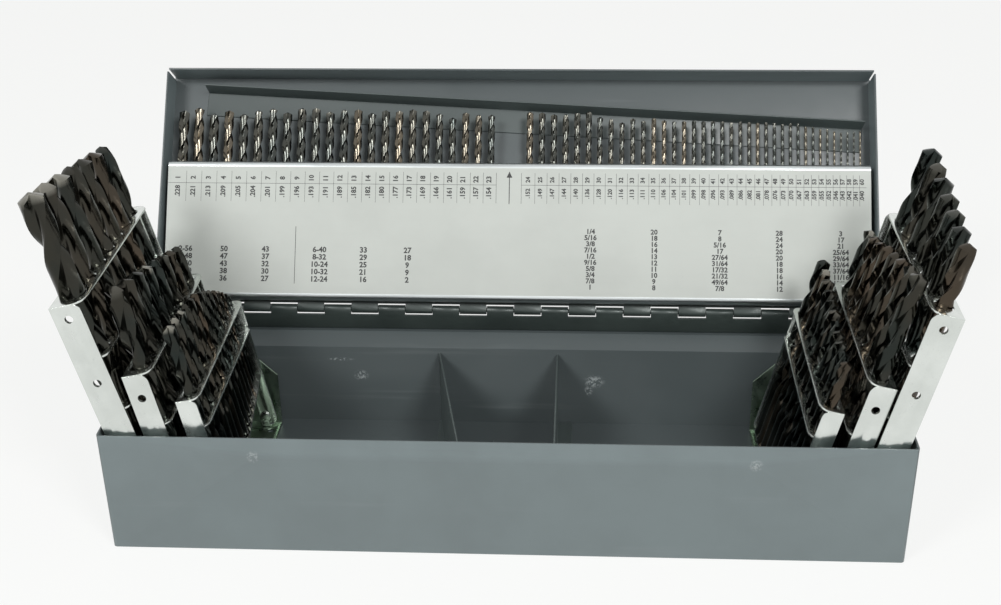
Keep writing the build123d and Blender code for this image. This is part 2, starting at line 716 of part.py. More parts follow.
# ================================================================ drills
def faceted_solid(rings):
    """Closed body from rings of points stacked one on another, split into flat triangles."""
    count = len(rings[0])
    faces = [Face(Wire.make_polygon(rings[0][::-1], close=True)), Face(Wire.make_polygon(rings[-1], close=True))]
    for low, high in zip(rings, rings[1:]):
        for here in range(count):
            after = (here + 1) % count
            faces.append(Face(Wire.make_polygon([low[here], low[after], high[after]], close=True)))
            faces.append(Face(Wire.make_polygon([low[here], high[after], high[here]], close=True)))
    return Solid(Shell(faces))


def drill_ring(plane, size, height, turn, angles, hollow):
    """Section of a drill: the listed angles on the land circle, each last one of a half in the flute."""
    ring = []
    for half in (0, 180):
        for angle in angles:
            radius = hollow if angle == angles[-1] else size / 2
            at = radians(angle + half + turn)
            ring.append(plane.from_local_coords((radius * cos(at), radius * sin(at), height)))
    return ring


def twist_drill(plane, size, angles, step):
    """Twist drill standing on plane: round shank, two helical flutes and a ground point."""
    length = jobber_length(size)
    shank = shank_length(size)
    body = length - point_height(size) - shank
    lead = flute_pitch * size
    web = size * web_share / 2
    count = max(2, round(body / lead * 360 / step))
    rings = [drill_ring(plane, size, height, 0, angles, size / 2) for height in (0, shank)]
    for index in range(1, count + 1):
        height = shank + body * index / count
        rings.append(drill_ring(plane, size, height, 360 * (height - shank) / lead, angles, web))
    rings.append(drill_ring(plane, size * chisel_share, length, 360 * body / lead, angles, web * chisel_share))
    return faceted_solid(rings)


def plain_drill(plane, size, sides):
    """Drill too fine for its flutes to matter: a bar of a few sides with a ground point."""
    length = jobber_length(size)
    rings = []
    for radius, height in ((size / 2, 0), (size / 2, length - point_height(size)), (size * chisel_share / 2, length)):
        turns = [radians(360 * index / sides) for index in range(sides)]
        rings.append([plane.from_local_coords((radius * cos(at), radius * sin(at), height)) for at in turns])
    return faceted_solid(rings)


def row_plane(leaf, y, size):
    return Plane(origin=leaf_point(leaf, leaf.row_w, y, drill_foot(leaf, y, size)), x_dir=leaf_axes(leaf)[0],
                 z_dir=leaf_axes(leaf)[1])


def large_drills(leaf):
    """The seven largest drills of a side, each a piece of its own."""
    for index, (y, size) in enumerate(zip(row_places(leaf), leaf.sizes), start=1):
        with BuildPart() as part:
            add(twist_drill(row_plane(leaf, y, size), size, large_angles, large_step))
        export(part, f"{leaf.name}_drill_{index}")


def row_drills(leaf):
    """The drills of a middle or inner row, front to rear."""
    with BuildPart() as part:
        for y, size in zip(row_places(leaf), leaf.sizes):
            plane = row_plane(leaf, y, size)
            if size < flute_least:
                add(plain_drill(plane, size, number_sides))
            else:
                add(twist_drill(plane, size, small_angles, small_step))
    export(part, f"{leaf.name}_drills")


def number_drills():
    """The number drills in the lid's rack: coarse sizes left of the gap, fine sizes right."""
    places = list(zip(number_positions(), numbers))
    for name, group, sides in (("number_drills_coarse", places[:23], number_sides),
                               ("number_drills_fine", places[23:], fine_number_sides)):
        with BuildPart() as part:
            for x, size in group:
                diameter = size * inch
                origin = rack_origin + rack_outward * rack_row + rack_along * number_foot(x, diameter) + Vector(x, 0, 0)
                add(plain_drill(Plane(origin=origin, x_dir=(1, 0, 0), z_dir=rack_along), diameter, sides))
        export(part, name)


base_tray()
bracket(-1, "left_bracket")
bracket(1, "right_bracket")
left_divider()
right_divider()
hinge()
lid_shell()
retainer_strip()
rack_face()
rack_rest()
rack_pins()
for row in leaves:
    leaf_frame(row)
    leaf_guides(row)
    if row.level == "outer":
        large_drills(row)
    else:
        row_drills(row)
leaf_rivets(-1, "left_rivets")
leaf_rivets(1, "right_rivets")
number_drills()
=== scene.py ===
import logging
import random
from dataclasses import dataclass
from enum import Enum
from math import cos, pi, radians, sin, tan

import bmesh
import bpy
from mathutils import Matrix, Vector


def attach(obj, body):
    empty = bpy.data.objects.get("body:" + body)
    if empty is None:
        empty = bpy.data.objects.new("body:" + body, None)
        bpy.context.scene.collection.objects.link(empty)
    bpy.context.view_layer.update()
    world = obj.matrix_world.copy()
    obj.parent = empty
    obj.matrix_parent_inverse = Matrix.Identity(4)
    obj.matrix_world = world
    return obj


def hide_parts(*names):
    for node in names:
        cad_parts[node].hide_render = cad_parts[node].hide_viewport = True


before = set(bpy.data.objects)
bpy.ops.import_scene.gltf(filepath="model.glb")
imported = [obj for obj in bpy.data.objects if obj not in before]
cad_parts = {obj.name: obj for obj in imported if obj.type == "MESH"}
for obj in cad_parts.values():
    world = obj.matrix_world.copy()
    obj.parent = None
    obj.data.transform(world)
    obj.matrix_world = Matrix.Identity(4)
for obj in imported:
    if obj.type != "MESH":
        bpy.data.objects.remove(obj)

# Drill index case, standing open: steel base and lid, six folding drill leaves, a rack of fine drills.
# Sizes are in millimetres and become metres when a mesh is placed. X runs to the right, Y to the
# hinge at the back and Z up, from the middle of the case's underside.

BMesh, BMVert, BMEdge = bmesh.types.BMesh, bmesh.types.BMVert, bmesh.types.BMEdge
Material, Node, NodeTree, Socket = bpy.types.Material, bpy.types.Node, bpy.types.NodeTree, bpy.types.NodeSocket
Colour = tuple[float, float, float]
Triple = tuple[float, float, float]
Pair = tuple[float, float]
Outline = list[Vector]

LOG = logging.getLogger("drill_case")
MM = 0.001
INCH = 25.4
X_AXIS = Vector((1, 0, 0))
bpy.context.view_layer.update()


# ------------------------------------------------------------------ placing and finishing meshes
def placement(origin: Vector, x_axis: Vector, z_axis: Vector) -> Matrix:
    """Matrix that carries a piece drawn in millimetres to its place in metres.

    Args:
        origin: where the drawing's origin lies, in millimetres.
        x_axis: direction of the drawing's x axis.
        z_axis: direction of the drawing's z axis, square to x_axis.

    Returns:
        The 4 by 4 matrix, millimetres to metres included.
    """
    x_dir, z_dir = x_axis.normalized(), z_axis.normalized()
    turn = Matrix((x_dir, z_dir.cross(x_dir), z_dir)).transposed().to_4x4()
    return Matrix.Scale(MM, 4) @ Matrix.Translation(origin) @ turn


def mesh_object(name: str, bm: BMesh, material: Material, body: str, slot: str,
                replaces: tuple[str, ...] = (), angle: float = 32.0) -> None:
    """Turn a finished bmesh into a piece of the case.

    Args:
        name: the piece's name.
        bm: mesh in metres at its place; it is freed here.
        material: finish of all its faces.
        body: the body that it moves with.
        slot: the record's material slot; not used.
        replaces: nodes that it stands for.
        angle: faces that turn by more than this many degrees keep a sharp edge.
    """
    bmesh.ops.recalc_face_normals(bm, faces=bm.faces)
    mesh = bpy.data.meshes.new(name)
    bm.to_mesh(mesh)
    bm.free()
    mesh.materials.append(material)
    obj = bpy.data.objects.new(name, mesh)
    bpy.context.scene.collection.objects.link(obj)
    for polygon in mesh.polygons:
        polygon.use_smooth = True
    mesh.set_sharp_from_angle(angle=radians(angle))
    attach(obj, body)
    if replaces:
        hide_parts(*replaces)
    LOG.info("%s: %d faces on %s", name, len(mesh.polygons), body)


def soften(node: str, material: Material, width: float, segments: int = 2) -> None:
    """Dress a node of the frame: its finish, and small rounds along its sheet edges.

    Args:
        node: the node's name.
        material: finish.
        width: width of the rounds in millimetres.
        segments: faces across each round.
    """
    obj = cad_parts[node]
    obj.data.materials.clear()
    obj.data.materials.append(material)
    weld = obj.modifiers.new("weld", "WELD")
    weld.merge_threshold = 0.002 * MM
    bevel = obj.modifiers.new("round", "BEVEL")
    bevel.width = width * MM
    bevel.segments = segments
    bevel.limit_method = "ANGLE"
    bevel.angle_limit = radians(40)
    bevel.harden_normals = True
    for polygon in obj.data.polygons:
        polygon.use_smooth = True
    LOG.info("%s dressed", node)


def verts_of(geom: list[object]) -> list[BMVert]:
    """The vertices among an operator's results."""
    return [item for item in geom if isinstance(item, BMVert)]


def edges_of(geom: list[object]) -> list[BMEdge]:
    """The edges among an operator's results."""
    return [item for item in geom if isinstance(item, BMEdge)]


def flat(*points: Pair) -> Outline:
    """Points of the drawing plane."""
    return [Vector((x, y, 0)) for x, y in points]


def edges_at(verts: list[BMVert]) -> list[BMEdge]:
    """Edges that meet the vertices, each once and always in the same order."""
    return list(dict.fromkeys(edge for vert in verts for edge in vert.link_edges))


def ring_of(bm: BMesh, points: Outline) -> list[BMEdge]:
    """Add a closed ring of edges through the points, started from a circle of as many sides."""
    made = bmesh.ops.create_circle(bm, segments=len(points), radius=1.0)["verts"]
    for vert, point in zip(made, points):
        vert.co = point
    return edges_at(made)


def arc(centre: Pair, radius: float, start: float, end: float, count: int) -> Outline:
    """Points of an arc in the drawing plane, angles in degrees."""
    turns = [radians(start + (end - start) * index / (count - 1)) for index in range(count)]
    return flat(*((centre[0] + radius * cos(a), centre[1] + radius * sin(a)) for a in turns))


def circle(centre: Pair, radius: float, count: int = 24) -> Outline:
    """Points of a full circle in the drawing plane."""
    return arc(centre, radius, 0, 360 - 360 / count, count)


def holed_plate(bm: BMesh, outline: Outline, holes: list[Outline], thickness: float, place: Matrix,
                lip: float = 0.16) -> None:
    """Add a flat sheet with holes, with softened edges, from z = 0 down by its thickness.

    Args:
        bm: mesh that receives it.
        outline: the sheet's outline.
        holes: outlines of its holes.
        thickness: sheet thickness; the sheet lies below z = 0.
        place: matrix from the drawing to the object.
        lip: width of the softened edge.
    """
    sheet = bmesh.new()
    edges = ring_of(sheet, outline)
    for hole in holes:
        edges += ring_of(sheet, hole)
    bmesh.ops.triangle_fill(sheet, use_beauty=True, use_dissolve=False, edges=edges)
    bmesh.ops.dissolve_limit(sheet, angle_limit=0.001, verts=sheet.verts, edges=sheet.edges)
    for face in sheet.faces:
        if face.normal.z < 0:
            face.normal_flip()
    made = bmesh.ops.extrude_face_region(sheet, geom=sheet.faces[:])["geom"]
    bmesh.ops.translate(sheet, verts=verts_of(made), vec=(0, 0, -thickness))
    bmesh.ops.recalc_face_normals(sheet, faces=sheet.faces)
    rims = [edge for edge in sheet.edges if len(edge.link_faces) == 2
            and edge.calc_face_angle(0) > radians(60) and abs(edge.verts[0].co.z - edge.verts[1].co.z) < 1e-6]
    bmesh.ops.bevel(sheet, geom=rims, offset=lip, segments=2, profile=0.5, affect="EDGES", material=-1)
    sheet.transform(place)
    join(bm, sheet)


def join(bm: BMesh, other: BMesh) -> None:
    """Add another bmesh to bm and free it."""
    mesh = bpy.data.meshes.new("passing")
    other.to_mesh(mesh)
    other.free()
    bm.from_mesh(mesh)
    bpy.data.meshes.remove(mesh)


# ------------------------------------------------------------------ shader helpers
class Tree:
    """Short hand for building a node tree."""

    def __init__(self, tree: NodeTree) -> None:
        """Keep the tree and start it empty."""
        self.tree = tree
        tree.nodes.clear()

    def add(self, kind: str, **values: object) -> Node:
        """Add a node and set its properties.

        Args:
            kind: node type without the ShaderNode prefix, or NodeGroupInput and the like in full.
            values: property names and values; a value for an input is given as in_NAME or in_NUMBER.

        Returns:
            The node.
        """
        node = self.tree.nodes.new(kind if kind.startswith("NodeGroup") else "ShaderNode" + kind)
        for key, value in values.items():
            if key.startswith("in_"):
                name = key[3:]
                node.inputs[int(name) if name.isdigit() else name.replace("_", " ")].default_value = value
            else:
                setattr(node, key, value)
        return node

    def link(self, source: Socket, target: Socket) -> None:
        """Join two sockets."""
        self.tree.links.new(source, target)

    def output(self, shader: Node) -> None:
        """Join a shader to the material's output."""
        self.link(shader.outputs[0], self.add("OutputMaterial").inputs[0])

    def wear(self, group: NodeTree, scale: float) -> Node:
        """Place the shared wear group at a scale."""
        node = self.add("Group", node_tree=group)
        node.inputs["Scale"].default_value = scale
        return node

    def coordinates(self, scale: Triple = (1, 1, 1)) -> Socket:
        """Object coordinates through a Mapping node."""
        mapping = self.add("Mapping", in_Scale=scale)
        self.link(self.add("TexCoord").outputs["Object"], mapping.inputs["Vector"])
        return mapping.outputs["Vector"]

    def noise(self, scale: float, detail: float = 3.0, rough: float = 0.5,
              vector: Socket | None = None) -> Socket:
        """Noise factor, scale in repeats per metre."""
        node = self.add("TexNoise", in_Scale=scale, in_Detail=detail, in_Roughness=rough)
        self.link(vector or self.coordinates(), node.inputs["Vector"])
        return node.outputs["Fac"]

    def ramp(self, source: Socket, low: float, high: float) -> Socket:
        """Map a value smoothly from a range to 0 to 1."""
        node = self.add("MapRange", interpolation_type="SMOOTHSTEP", in_1=low, in_2=high, in_3=0.0, in_4=1.0)
        self.link(source, node.inputs[0])
        return node.outputs[0]

    def spread(self, source: Socket, low: float, high: float, to_low: float, to_high: float) -> Socket:
        """Map a value in a straight line from one range to another."""
        node = self.add("MapRange", in_1=low, in_2=high, in_3=to_low, in_4=to_high)
        self.link(source, node.inputs[0])
        return node.outputs[0]

    def dot(self, source: Socket, direction: Triple) -> Socket:
        """Dot product of a vector and a fixed direction."""
        node = self.add("VectorMath", operation="DOT_PRODUCT")
        node.inputs[1].default_value = direction
        self.link(source, node.inputs[0])
        return node.outputs["Value"]

    def mix(self, mask: Socket, first: Colour, second: Colour | Socket, base: Socket | None = None) -> Socket:
        """Mix two colours by a mask; base takes the place of the first colour."""
        node = self.add("Mix", data_type="RGBA")
        node.inputs[6].default_value = (*first, 1)
        if base is not None:
            self.link(base, node.inputs[6])
        if isinstance(second, Socket):
            self.link(second, node.inputs[7])
        else:
            node.inputs[7].default_value = (*second, 1)
        self.link(mask, node.inputs[0])
        return node.outputs[2]

    def math(self, operation: str, first: Socket, second: Socket | float, clamp: bool = False) -> Socket:
        """Math node on a socket and a socket or a number."""
        node = self.add("Math", operation=operation, use_clamp=clamp)
        self.link(first, node.inputs[0])
        if isinstance(second, Socket):
            self.link(second, node.inputs[1])
        else:
            node.inputs[1].default_value = second
        return node.outputs[0]

    def bump(self, height: Socket, strength: float, distance: float, shader: Node) -> None:
        """Bump a shader's normal by a height; the distance is in metres."""
        node = self.add("Bump", in_Strength=strength, in_Distance=distance)
        self.link(height, node.inputs["Height"])
        self.link(node.outputs[0], shader.inputs["Normal"])

    def surroundings(self) -> Socket:
        """1 for camera, glossy and transmission rays, 0 for the rays that light a surface."""
        path = self.add("LightPath")
        seen = self.math("MAXIMUM", path.outputs["Is Camera Ray"], path.outputs["Is Glossy Ray"])
        return self.math("MAXIMUM", seen, path.outputs["Is Transmission Ray"])


def scaled(colour: Colour, share: float) -> Colour:
    """A colour times a share."""
    return tuple(c * share for c in colour)


def new_material(name: str) -> tuple[Material, Tree]:
    """Start a material with an empty node tree."""
    material = bpy.data.materials.new(name)
    material.use_nodes = True
    return material, Tree(material.node_tree)


def wear_group() -> NodeTree:
    """Group that gives fine specks, broad clouds and long faint rubs, shared by all finishes.

    Returns:
        The group, with inputs Scale and Amount and outputs Specks, Clouds and Rubs.
    """
    group = bpy.data.node_groups.new("surface_wear", "ShaderNodeTree")
    for key in ("Scale", "Amount"):
        group.interface.new_socket(key, in_out="INPUT", socket_type="NodeSocketFloat").default_value = 1.0
    # output, noise scale, detail, stretch of the noise, and the range that becomes 0 to 1
    layers = (("Specks", 900, 2, (1, 1, 1), 0.66, 0.74), ("Clouds", 16, 4, (1, 1, 1), 0.32, 0.68),
              ("Rubs", 60, 3, (0.12, 1, 2.2), 0.6, 0.78))
    for key, *_ in layers:
        group.interface.new_socket(key, in_out="OUTPUT", socket_type="NodeSocketFloat")
    tree = Tree(group)
    source, target = tree.add("NodeGroupInput"), tree.add("NodeGroupOutput")
    for key, scale, detail, stretch, low, high in layers:
        noise = tree.add("TexNoise", in_Detail=detail, in_Roughness=0.6)
        tree.link(tree.coordinates(stretch), noise.inputs["Vector"])
        tree.link(tree.math("MULTIPLY", source.outputs["Scale"], scale), noise.inputs["Scale"])
        value = tree.ramp(noise.outputs["Fac"], low, high)
        tree.link(tree.math("MULTIPLY", value, source.outputs["Amount"]), target.inputs[key])
    return group


@dataclass(frozen=True)
class Scuff:
    """A rubbed spot in the paint: its centre and half sizes in millimetres."""

    centre: Triple
    size: Triple


@dataclass(frozen=True)
class Paint:
    """Blue-grey enamel on sheet steel, with fine orange peel, clouds and a few rubbed spots.

    Faces that look up or forward behind front_y are the case's interior, whose colour is darkened by a set
    share: painted shade, for the light that reaches the interior less.
    """

    name: str = "blue_grey_enamel"
    colour: Colour = (0.165, 0.2, 0.205)
    worn: Colour = (0.3, 0.33, 0.33)
    # share of the colour kept on interior faces, as painted shade
    inside: float = 0.46
    front_y: float = -63.9
    roughness: float = 0.38
    scuffs: tuple[Scuff, ...] = ()

    def spots(self, tree: Tree, where: Socket) -> Socket | None:
        """Mask of the rubbed spots.

        Args:
            tree: the material's tree.
            where: object coordinates.

        Returns:
            The mask, or None where the paint has no spots.
        """
        found: Socket | None = None
        for scuff in self.scuffs:
            mapping = tree.add("Mapping", vector_type="TEXTURE", in_Location=[c * MM for c in scuff.centre],
                               in_Scale=[s * MM for s in scuff.size])
            tree.link(where, mapping.inputs["Vector"])
            length = tree.add("VectorMath", operation="LENGTH")
            tree.link(mapping.outputs[0], length.inputs[0])
            near = tree.ramp(length.outputs["Value"], 1.0, 0.3)
            spot = tree.math("MULTIPLY", near, tree.ramp(tree.noise(650, 4, 0.7), 0.48, 0.56))
            found = spot if found is None else tree.math("MAXIMUM", found, spot)
        return found

    def make(self, wear_nodes: NodeTree) -> Material:
        """Build the material."""
        material, tree = new_material(self.name)
        shader = tree.add("BsdfPrincipled", in_Metallic=0.0, in_IOR=1.5)
        wear = tree.wear(wear_nodes, 1.0)
        colour = tree.mix(wear.outputs["Clouds"], scaled(self.colour, 0.93), scaled(self.colour, 1.05))
        place = tree.add("TexCoord")
        axes = tree.add("SeparateXYZ")
        tree.link(place.outputs["Object"], axes.inputs[0])
        # painted shade: interior faces that look up or forward, behind the front wall, get a darker colour
        behind = tree.ramp(axes.outputs["Y"], (self.front_y - 0.2) * MM, (self.front_y + 0.2) * MM)
        facing = tree.ramp(tree.dot(place.outputs["Normal"], (0, -0.6, 0.8)), 0.3, 0.45)
        interior_shade_mask = tree.math("MULTIPLY", facing, behind)
        colour = tree.mix(interior_shade_mask, self.colour, scaled(self.colour, self.inside), base=colour)
        rubs = tree.math("MULTIPLY", wear.outputs["Rubs"], 0.12)
        colour = tree.mix(rubs, self.colour, self.worn, base=colour)
        spots = self.spots(tree, place.outputs["Object"])
        if spots is not None:
            colour = tree.mix(spots, self.colour, self.worn, base=colour)
        tree.link(colour, shader.inputs["Base Color"])
        rough = tree.spread(wear.outputs["Clouds"], 0.0, 1.0, self.roughness - 0.06, self.roughness + 0.1)
        tree.link(rough, shader.inputs["Roughness"])
        tree.bump(tree.noise(1400, 2), 0.16, 0.00006, shader)
        tree.output(shader)
        return material


@dataclass(frozen=True)
class Metal:
    """Bare or plated metal: bright zinc, zinc darkened and tinted by painted reflection, ground or black-oxide
    steel.

    A toned one also reads the tone and ground attributes of drills.
    """

    name: str
    colour: Colour
    second: Colour
    roughness: float
    speck: Colour = (0.25, 0.25, 0.24)
    speck_amount: float = 0.3
    metallic: float = 1.0
    bump: float = 0.04
    fine: float = 500.0
    toned: bool = False
    fresh: Colour = (0.3, 0.29, 0.25)

    def make(self, wear_nodes: NodeTree) -> Material:
        """Build the material."""
        material, tree = new_material(self.name)
        shader = tree.add("BsdfPrincipled", in_Metallic=self.metallic)
        wear = tree.wear(wear_nodes, 1.6)
        mask = wear.outputs["Clouds"]
        if self.toned:
            tone = tree.add("Attribute", attribute_name="tone")
            mask = tree.math("ADD", tree.math("MULTIPLY", mask, 0.3), tone.outputs["Fac"], clamp=True)
        colour = tree.mix(mask, self.colour, self.second)
        specks = tree.math("MULTIPLY", wear.outputs["Specks"], self.speck_amount)
        colour = tree.mix(specks, self.colour, self.speck, base=colour)
        if self.toned:
            ground = tree.add("Attribute", attribute_name="ground")
            colour = tree.mix(ground.outputs["Fac"], self.colour, self.fresh, base=colour)
        tree.link(colour, shader.inputs["Base Color"])
        grain = tree.noise(self.fine, 3, 0.6)
        rough = tree.spread(grain, 0.3, 0.7, self.roughness - 0.07, self.roughness + 0.09)
        tree.link(rough, shader.inputs["Roughness"])
        tree.bump(grain, self.bump, 0.00005, shader)
        tree.output(shader)
        return material


@dataclass(frozen=True)
class IndexPlate:
    """Silvered index plate: a matt printed field between bright rolled edges, brushed along its length.

    base and along give the line up the plate on which the field's limits, in millimetres, are measured.
    """

    name: str = "silvered_index_plate"
    base: Triple = (0.0, 62.849, 76.033)
    along: Triple = (0.0, 0.549023, 0.835807)
    limits: Pair = (-0.6, 68.9)
    field_colour: Colour = (0.53, 0.555, 0.52)
    edge_colour: Colour = (0.62, 0.66, 0.66)
    stain: Colour = (0.3, 0.31, 0.29)
    blur: float = 0.15

    def make(self, wear_nodes: NodeTree) -> Material:
        """Build the material."""
        material, tree = new_material(self.name)
        shader = tree.add("BsdfPrincipled")
        height = tree.dot(tree.add("TexCoord").outputs["Object"], self.along)
        start = Vector(self.base).dot(Vector(self.along))
        low, high = (start + limit for limit in self.limits)
        above = tree.ramp(height, (low - self.blur) * MM, (low + self.blur) * MM)
        below = tree.ramp(height, (high + self.blur) * MM, (high - self.blur) * MM)
        matt = tree.math("MULTIPLY", above, below)
        wear = tree.wear(wear_nodes, 1.2)
        brushed = tree.noise(900, 3, 0.6, tree.coordinates((0.03, 1.0, 1.0)))
        streak = tree.mix(tree.ramp(brushed, 0.35, 0.65), self.edge_colour, scaled(self.edge_colour, 0.72))
        stained = tree.mix(wear.outputs["Clouds"], self.field_colour, scaled(self.field_colour, 0.93))
        specks = tree.math("MULTIPLY", wear.outputs["Specks"], 0.12)
        stained = tree.mix(specks, self.field_colour, self.stain, base=stained)
        tree.link(tree.mix(matt, self.edge_colour, stained, base=streak), shader.inputs["Base Color"])
        tree.link(tree.spread(matt, 0.0, 1.0, 1.0, 0.12), shader.inputs["Metallic"])
        rough = tree.math("ADD", tree.spread(matt, 0.0, 1.0, 0.24, 0.5), tree.math("MULTIPLY", brushed, 0.16))
        tree.link(rough, shader.inputs["Roughness"])
        tree.bump(brushed, 0.05, 0.00003, shader)
        tree.output(shader)
        return material


@dataclass(frozen=True)
class Ink:
    """Matt black print with slightly uneven cover."""

    name: str = "black_print"
    colour: Colour = (0.012, 0.013, 0.013)
    thin: Colour = (0.06, 0.062, 0.06)

    def make(self, wear_nodes: NodeTree) -> Material:
        """Build the material, without the wear group."""
        material, tree = new_material(self.name)
        shader = tree.add("BsdfPrincipled", in_Roughness=0.55)
        cover = tree.mix(tree.ramp(tree.noise(1800, 3), 0.35, 0.7), self.colour, self.thin)
        tree.link(cover, shader.inputs["Base Color"])
        tree.output(shader)
        return material


class Finish(Enum):
    """The finishes of the case."""

    PAINT = Paint(scuffs=(Scuff((-84, 53, 30), (5, 6, 4)), Scuff((44, 53, 28), (7, 6, 5)),
                          Scuff((41, 53, 22), (3, 6, 4)), Scuff((-118, -64, 54), (4, 4, 4)),
                          Scuff((118, -64, 54), (4, 4, 4)), Scuff((-95, 53, 40), (9, 6, 1.2))))
    # the enamel darkened for the dividers and retainer strip in the case's interior: painted shade
    INNER_PAINT = Paint("inner_enamel", colour=(0.07, 0.088, 0.086), inside=1.0)
    ZINC = Metal("bright_zinc", (0.74, 0.77, 0.74), (0.64, 0.67, 0.64), 0.2, speck=(0.3, 0.31, 0.29),
                 speck_amount=0.4, bump=0.03, fine=170.0)
    # zinc tinted dark green-grey: painted reflection of the green-grey paint and dark drills around it, and
    # painted shade
    BRACKET = Metal("zinc_with_painted_reflection", (0.26, 0.33, 0.26), (0.17, 0.22, 0.17), 0.3, speck=(0.4, 0.43, 0.38),
                    fine=170.0)
    PLATE = IndexPlate()
    BLACK = Metal("black_oxide", (0.024, 0.031, 0.029), (0.075, 0.058, 0.042), 0.17, speck=(0.06, 0.058, 0.05),
                  speck_amount=0.2, toned=True)
    STEEL = Metal("dark_ground_steel", (0.05, 0.058, 0.056), (0.16, 0.135, 0.1), 0.2, speck=(0.3, 0.29, 0.26),
                  speck_amount=0.2, toned=True)
    # dark grey-green for the hinge, which shares the case's paint: painted shade at the back of the case
    HINGE = Metal("hinge_steel", (0.05, 0.065, 0.06), (0.035, 0.046, 0.043), 0.36, speck=(0.03, 0.03, 0.03),
                  speck_amount=0.4, metallic=0.2)
    INK = Ink()


Finishes = dict[Finish, Material]


# ------------------------------------------------------------------ twist drills
@dataclass
class TwistDrill:
    """One twist drill: round shank, two helical flutes and a ground point.

    Angles are in degrees, and lengths that follow the drill are shares of its diameter.
    """

    diameter: float
    place: Matrix
    land_points: int = 6
    flute_points: int = 8
    step: float = 14.0
    tone: float = 0.0
    ground: float = 0.0
    turn: float = 0.0
    extra: float = 0.0
    web: float = 0.16
    lead: float = 6.2
    land_start: float = -40.0
    land_angle: float = 78.0
    flute_angle: float = 102.0
    margin: float = 0.14
    relief: float = 0.045
    deepest: float = 0.36
    point_slope: float = 31.0
    chisel_turn: float = 60.0

    def section(self, depth: float) -> list[Pair]:
        """Polar points of the section.

        Args:
            depth: 0 for the round shank, 1 for full flutes.

        Returns:
            Angle in degrees and radius of each point, in order.
        """
        radius = self.diameter / 2
        core = radius * 2 * self.web
        body = self.land_points - 2
        points: list[Pair] = []
        for half in (0, 180):
            start = half + self.land_start
            for index in range(self.land_points):
                if index < body:
                    share, clear = index / body * (0.98 - self.margin), radius * (1 - self.relief * depth)
                else:
                    share, clear = 1 - self.margin + self.margin * (index - body), radius
                points.append((start + self.land_angle * share, clear))
            for index in range(1, self.flute_points + 1):
                share = index / (self.flute_points + 1)
                if share < self.deepest:
                    rise = ((self.deepest - share) / self.deepest) ** 1.5
                else:
                    rise = ((share - self.deepest) / (1 - self.deepest)) ** 2.1
                cut = core + (radius - core) * rise
                turn = start + self.land_angle + self.flute_angle * share
                points.append((turn, radius + (cut - radius) * depth))
        return points

    def add_to(self, bm: BMesh) -> None:
        """Build the drill in a mesh of its own and add it to bm."""
        size, radius = self.diameter, self.diameter / 2
        length = min(50.8 + 8 * size, 31.8 + 12 * size) + self.extra
        shank = 0.25 * length + 0.6 * size
        slope = tan(radians(self.point_slope))
        top = length - radius * slope
        part = bmesh.new()
        tone = part.verts.layers.float.new("tone")
        ground = part.verts.layers.float.new("ground")
        round_ring = self.section(0)
        verts = bmesh.ops.create_circle(part, segments=len(round_ring), radius=radius, cap_ends=True)["verts"]
        edges = edges_at(verts)
        self.shape(verts, round_ring, 0.0, 0.0, 0.94)
        height = last = 0.0
        for height, depth in ((0.3, 0.0), (shank, 0.0), (shank + 0.45 * size, 0.4), (shank + 1.1 * size, 0.85),
                              (shank + 2.0 * size, 1.0)):
            fresh = set(verts_of(bmesh.ops.extrude_edge_only(part, edges=edges)["geom"]))
            verts = [next(edge.other_vert(vert) for edge in vert.link_edges if edge.other_vert(vert) in fresh)
                     for vert in verts]
            edges = [edge for edge in edges_at(verts) if edge.verts[0] in fresh and edge.verts[1] in fresh]
            last = max(0.0, height - shank) / (self.lead * size) * 360
            self.shape(verts, self.section(depth), height, last, 1.0)
        run = top - height
        turn = run / (self.lead * size) * 360
        steps = max(3, round(turn / self.step))
        made = bmesh.ops.spin(part, geom=edges, cent=(0, 0, height), axis=(0, 0, 1), dvec=(0, 0, run / steps),
                              angle=radians(turn), steps=steps, use_duplicate=False)["geom_last"]
        for vert in verts_of(made):
            vert.co.z = top + (radius - vert.co.xy.length) * slope
        made = bmesh.ops.extrude_edge_only(part, edges=edges_of(made))["geom"]
        chisel = radians(last + turn + self.chisel_turn)
        for vert in verts_of(made):
            flat = vert.co.xy * 0.3
            along = flat.x * cos(chisel) + flat.y * sin(chisel)
            vert.co.x = along * cos(chisel) * 0.9 + flat.x * 0.08
            vert.co.y = along * sin(chisel) * 0.9 + flat.y * 0.08
            vert.co.z = top + (radius - abs(along)) * slope - 0.02 * size
        bmesh.ops.contextual_create(part, geom=edges_of(made))
        for vert in part.verts:
            vert[tone] = self.tone
            high = (vert.co.z - (top - 0.02 * size)) / (0.05 * size)
            vert[ground] = self.ground * max(0.0, min(1.0, high))
        part.transform(self.place @ Matrix.Rotation(radians(self.turn), 4, "Z"))
        bmesh.ops.recalc_face_normals(part, faces=part.faces)
        join(bm, part)

    @staticmethod
    def shape(verts: list[BMVert], points: list[Pair], height: float, turn: float, scale: float) -> None:
        """Move the ring's verts onto the section's points at a height and turn."""
        for vert, (angle, radius) in zip(verts, points):
            at = radians(angle + turn)
            vert.co = Vector((radius * scale * cos(at), radius * scale * sin(at), height))


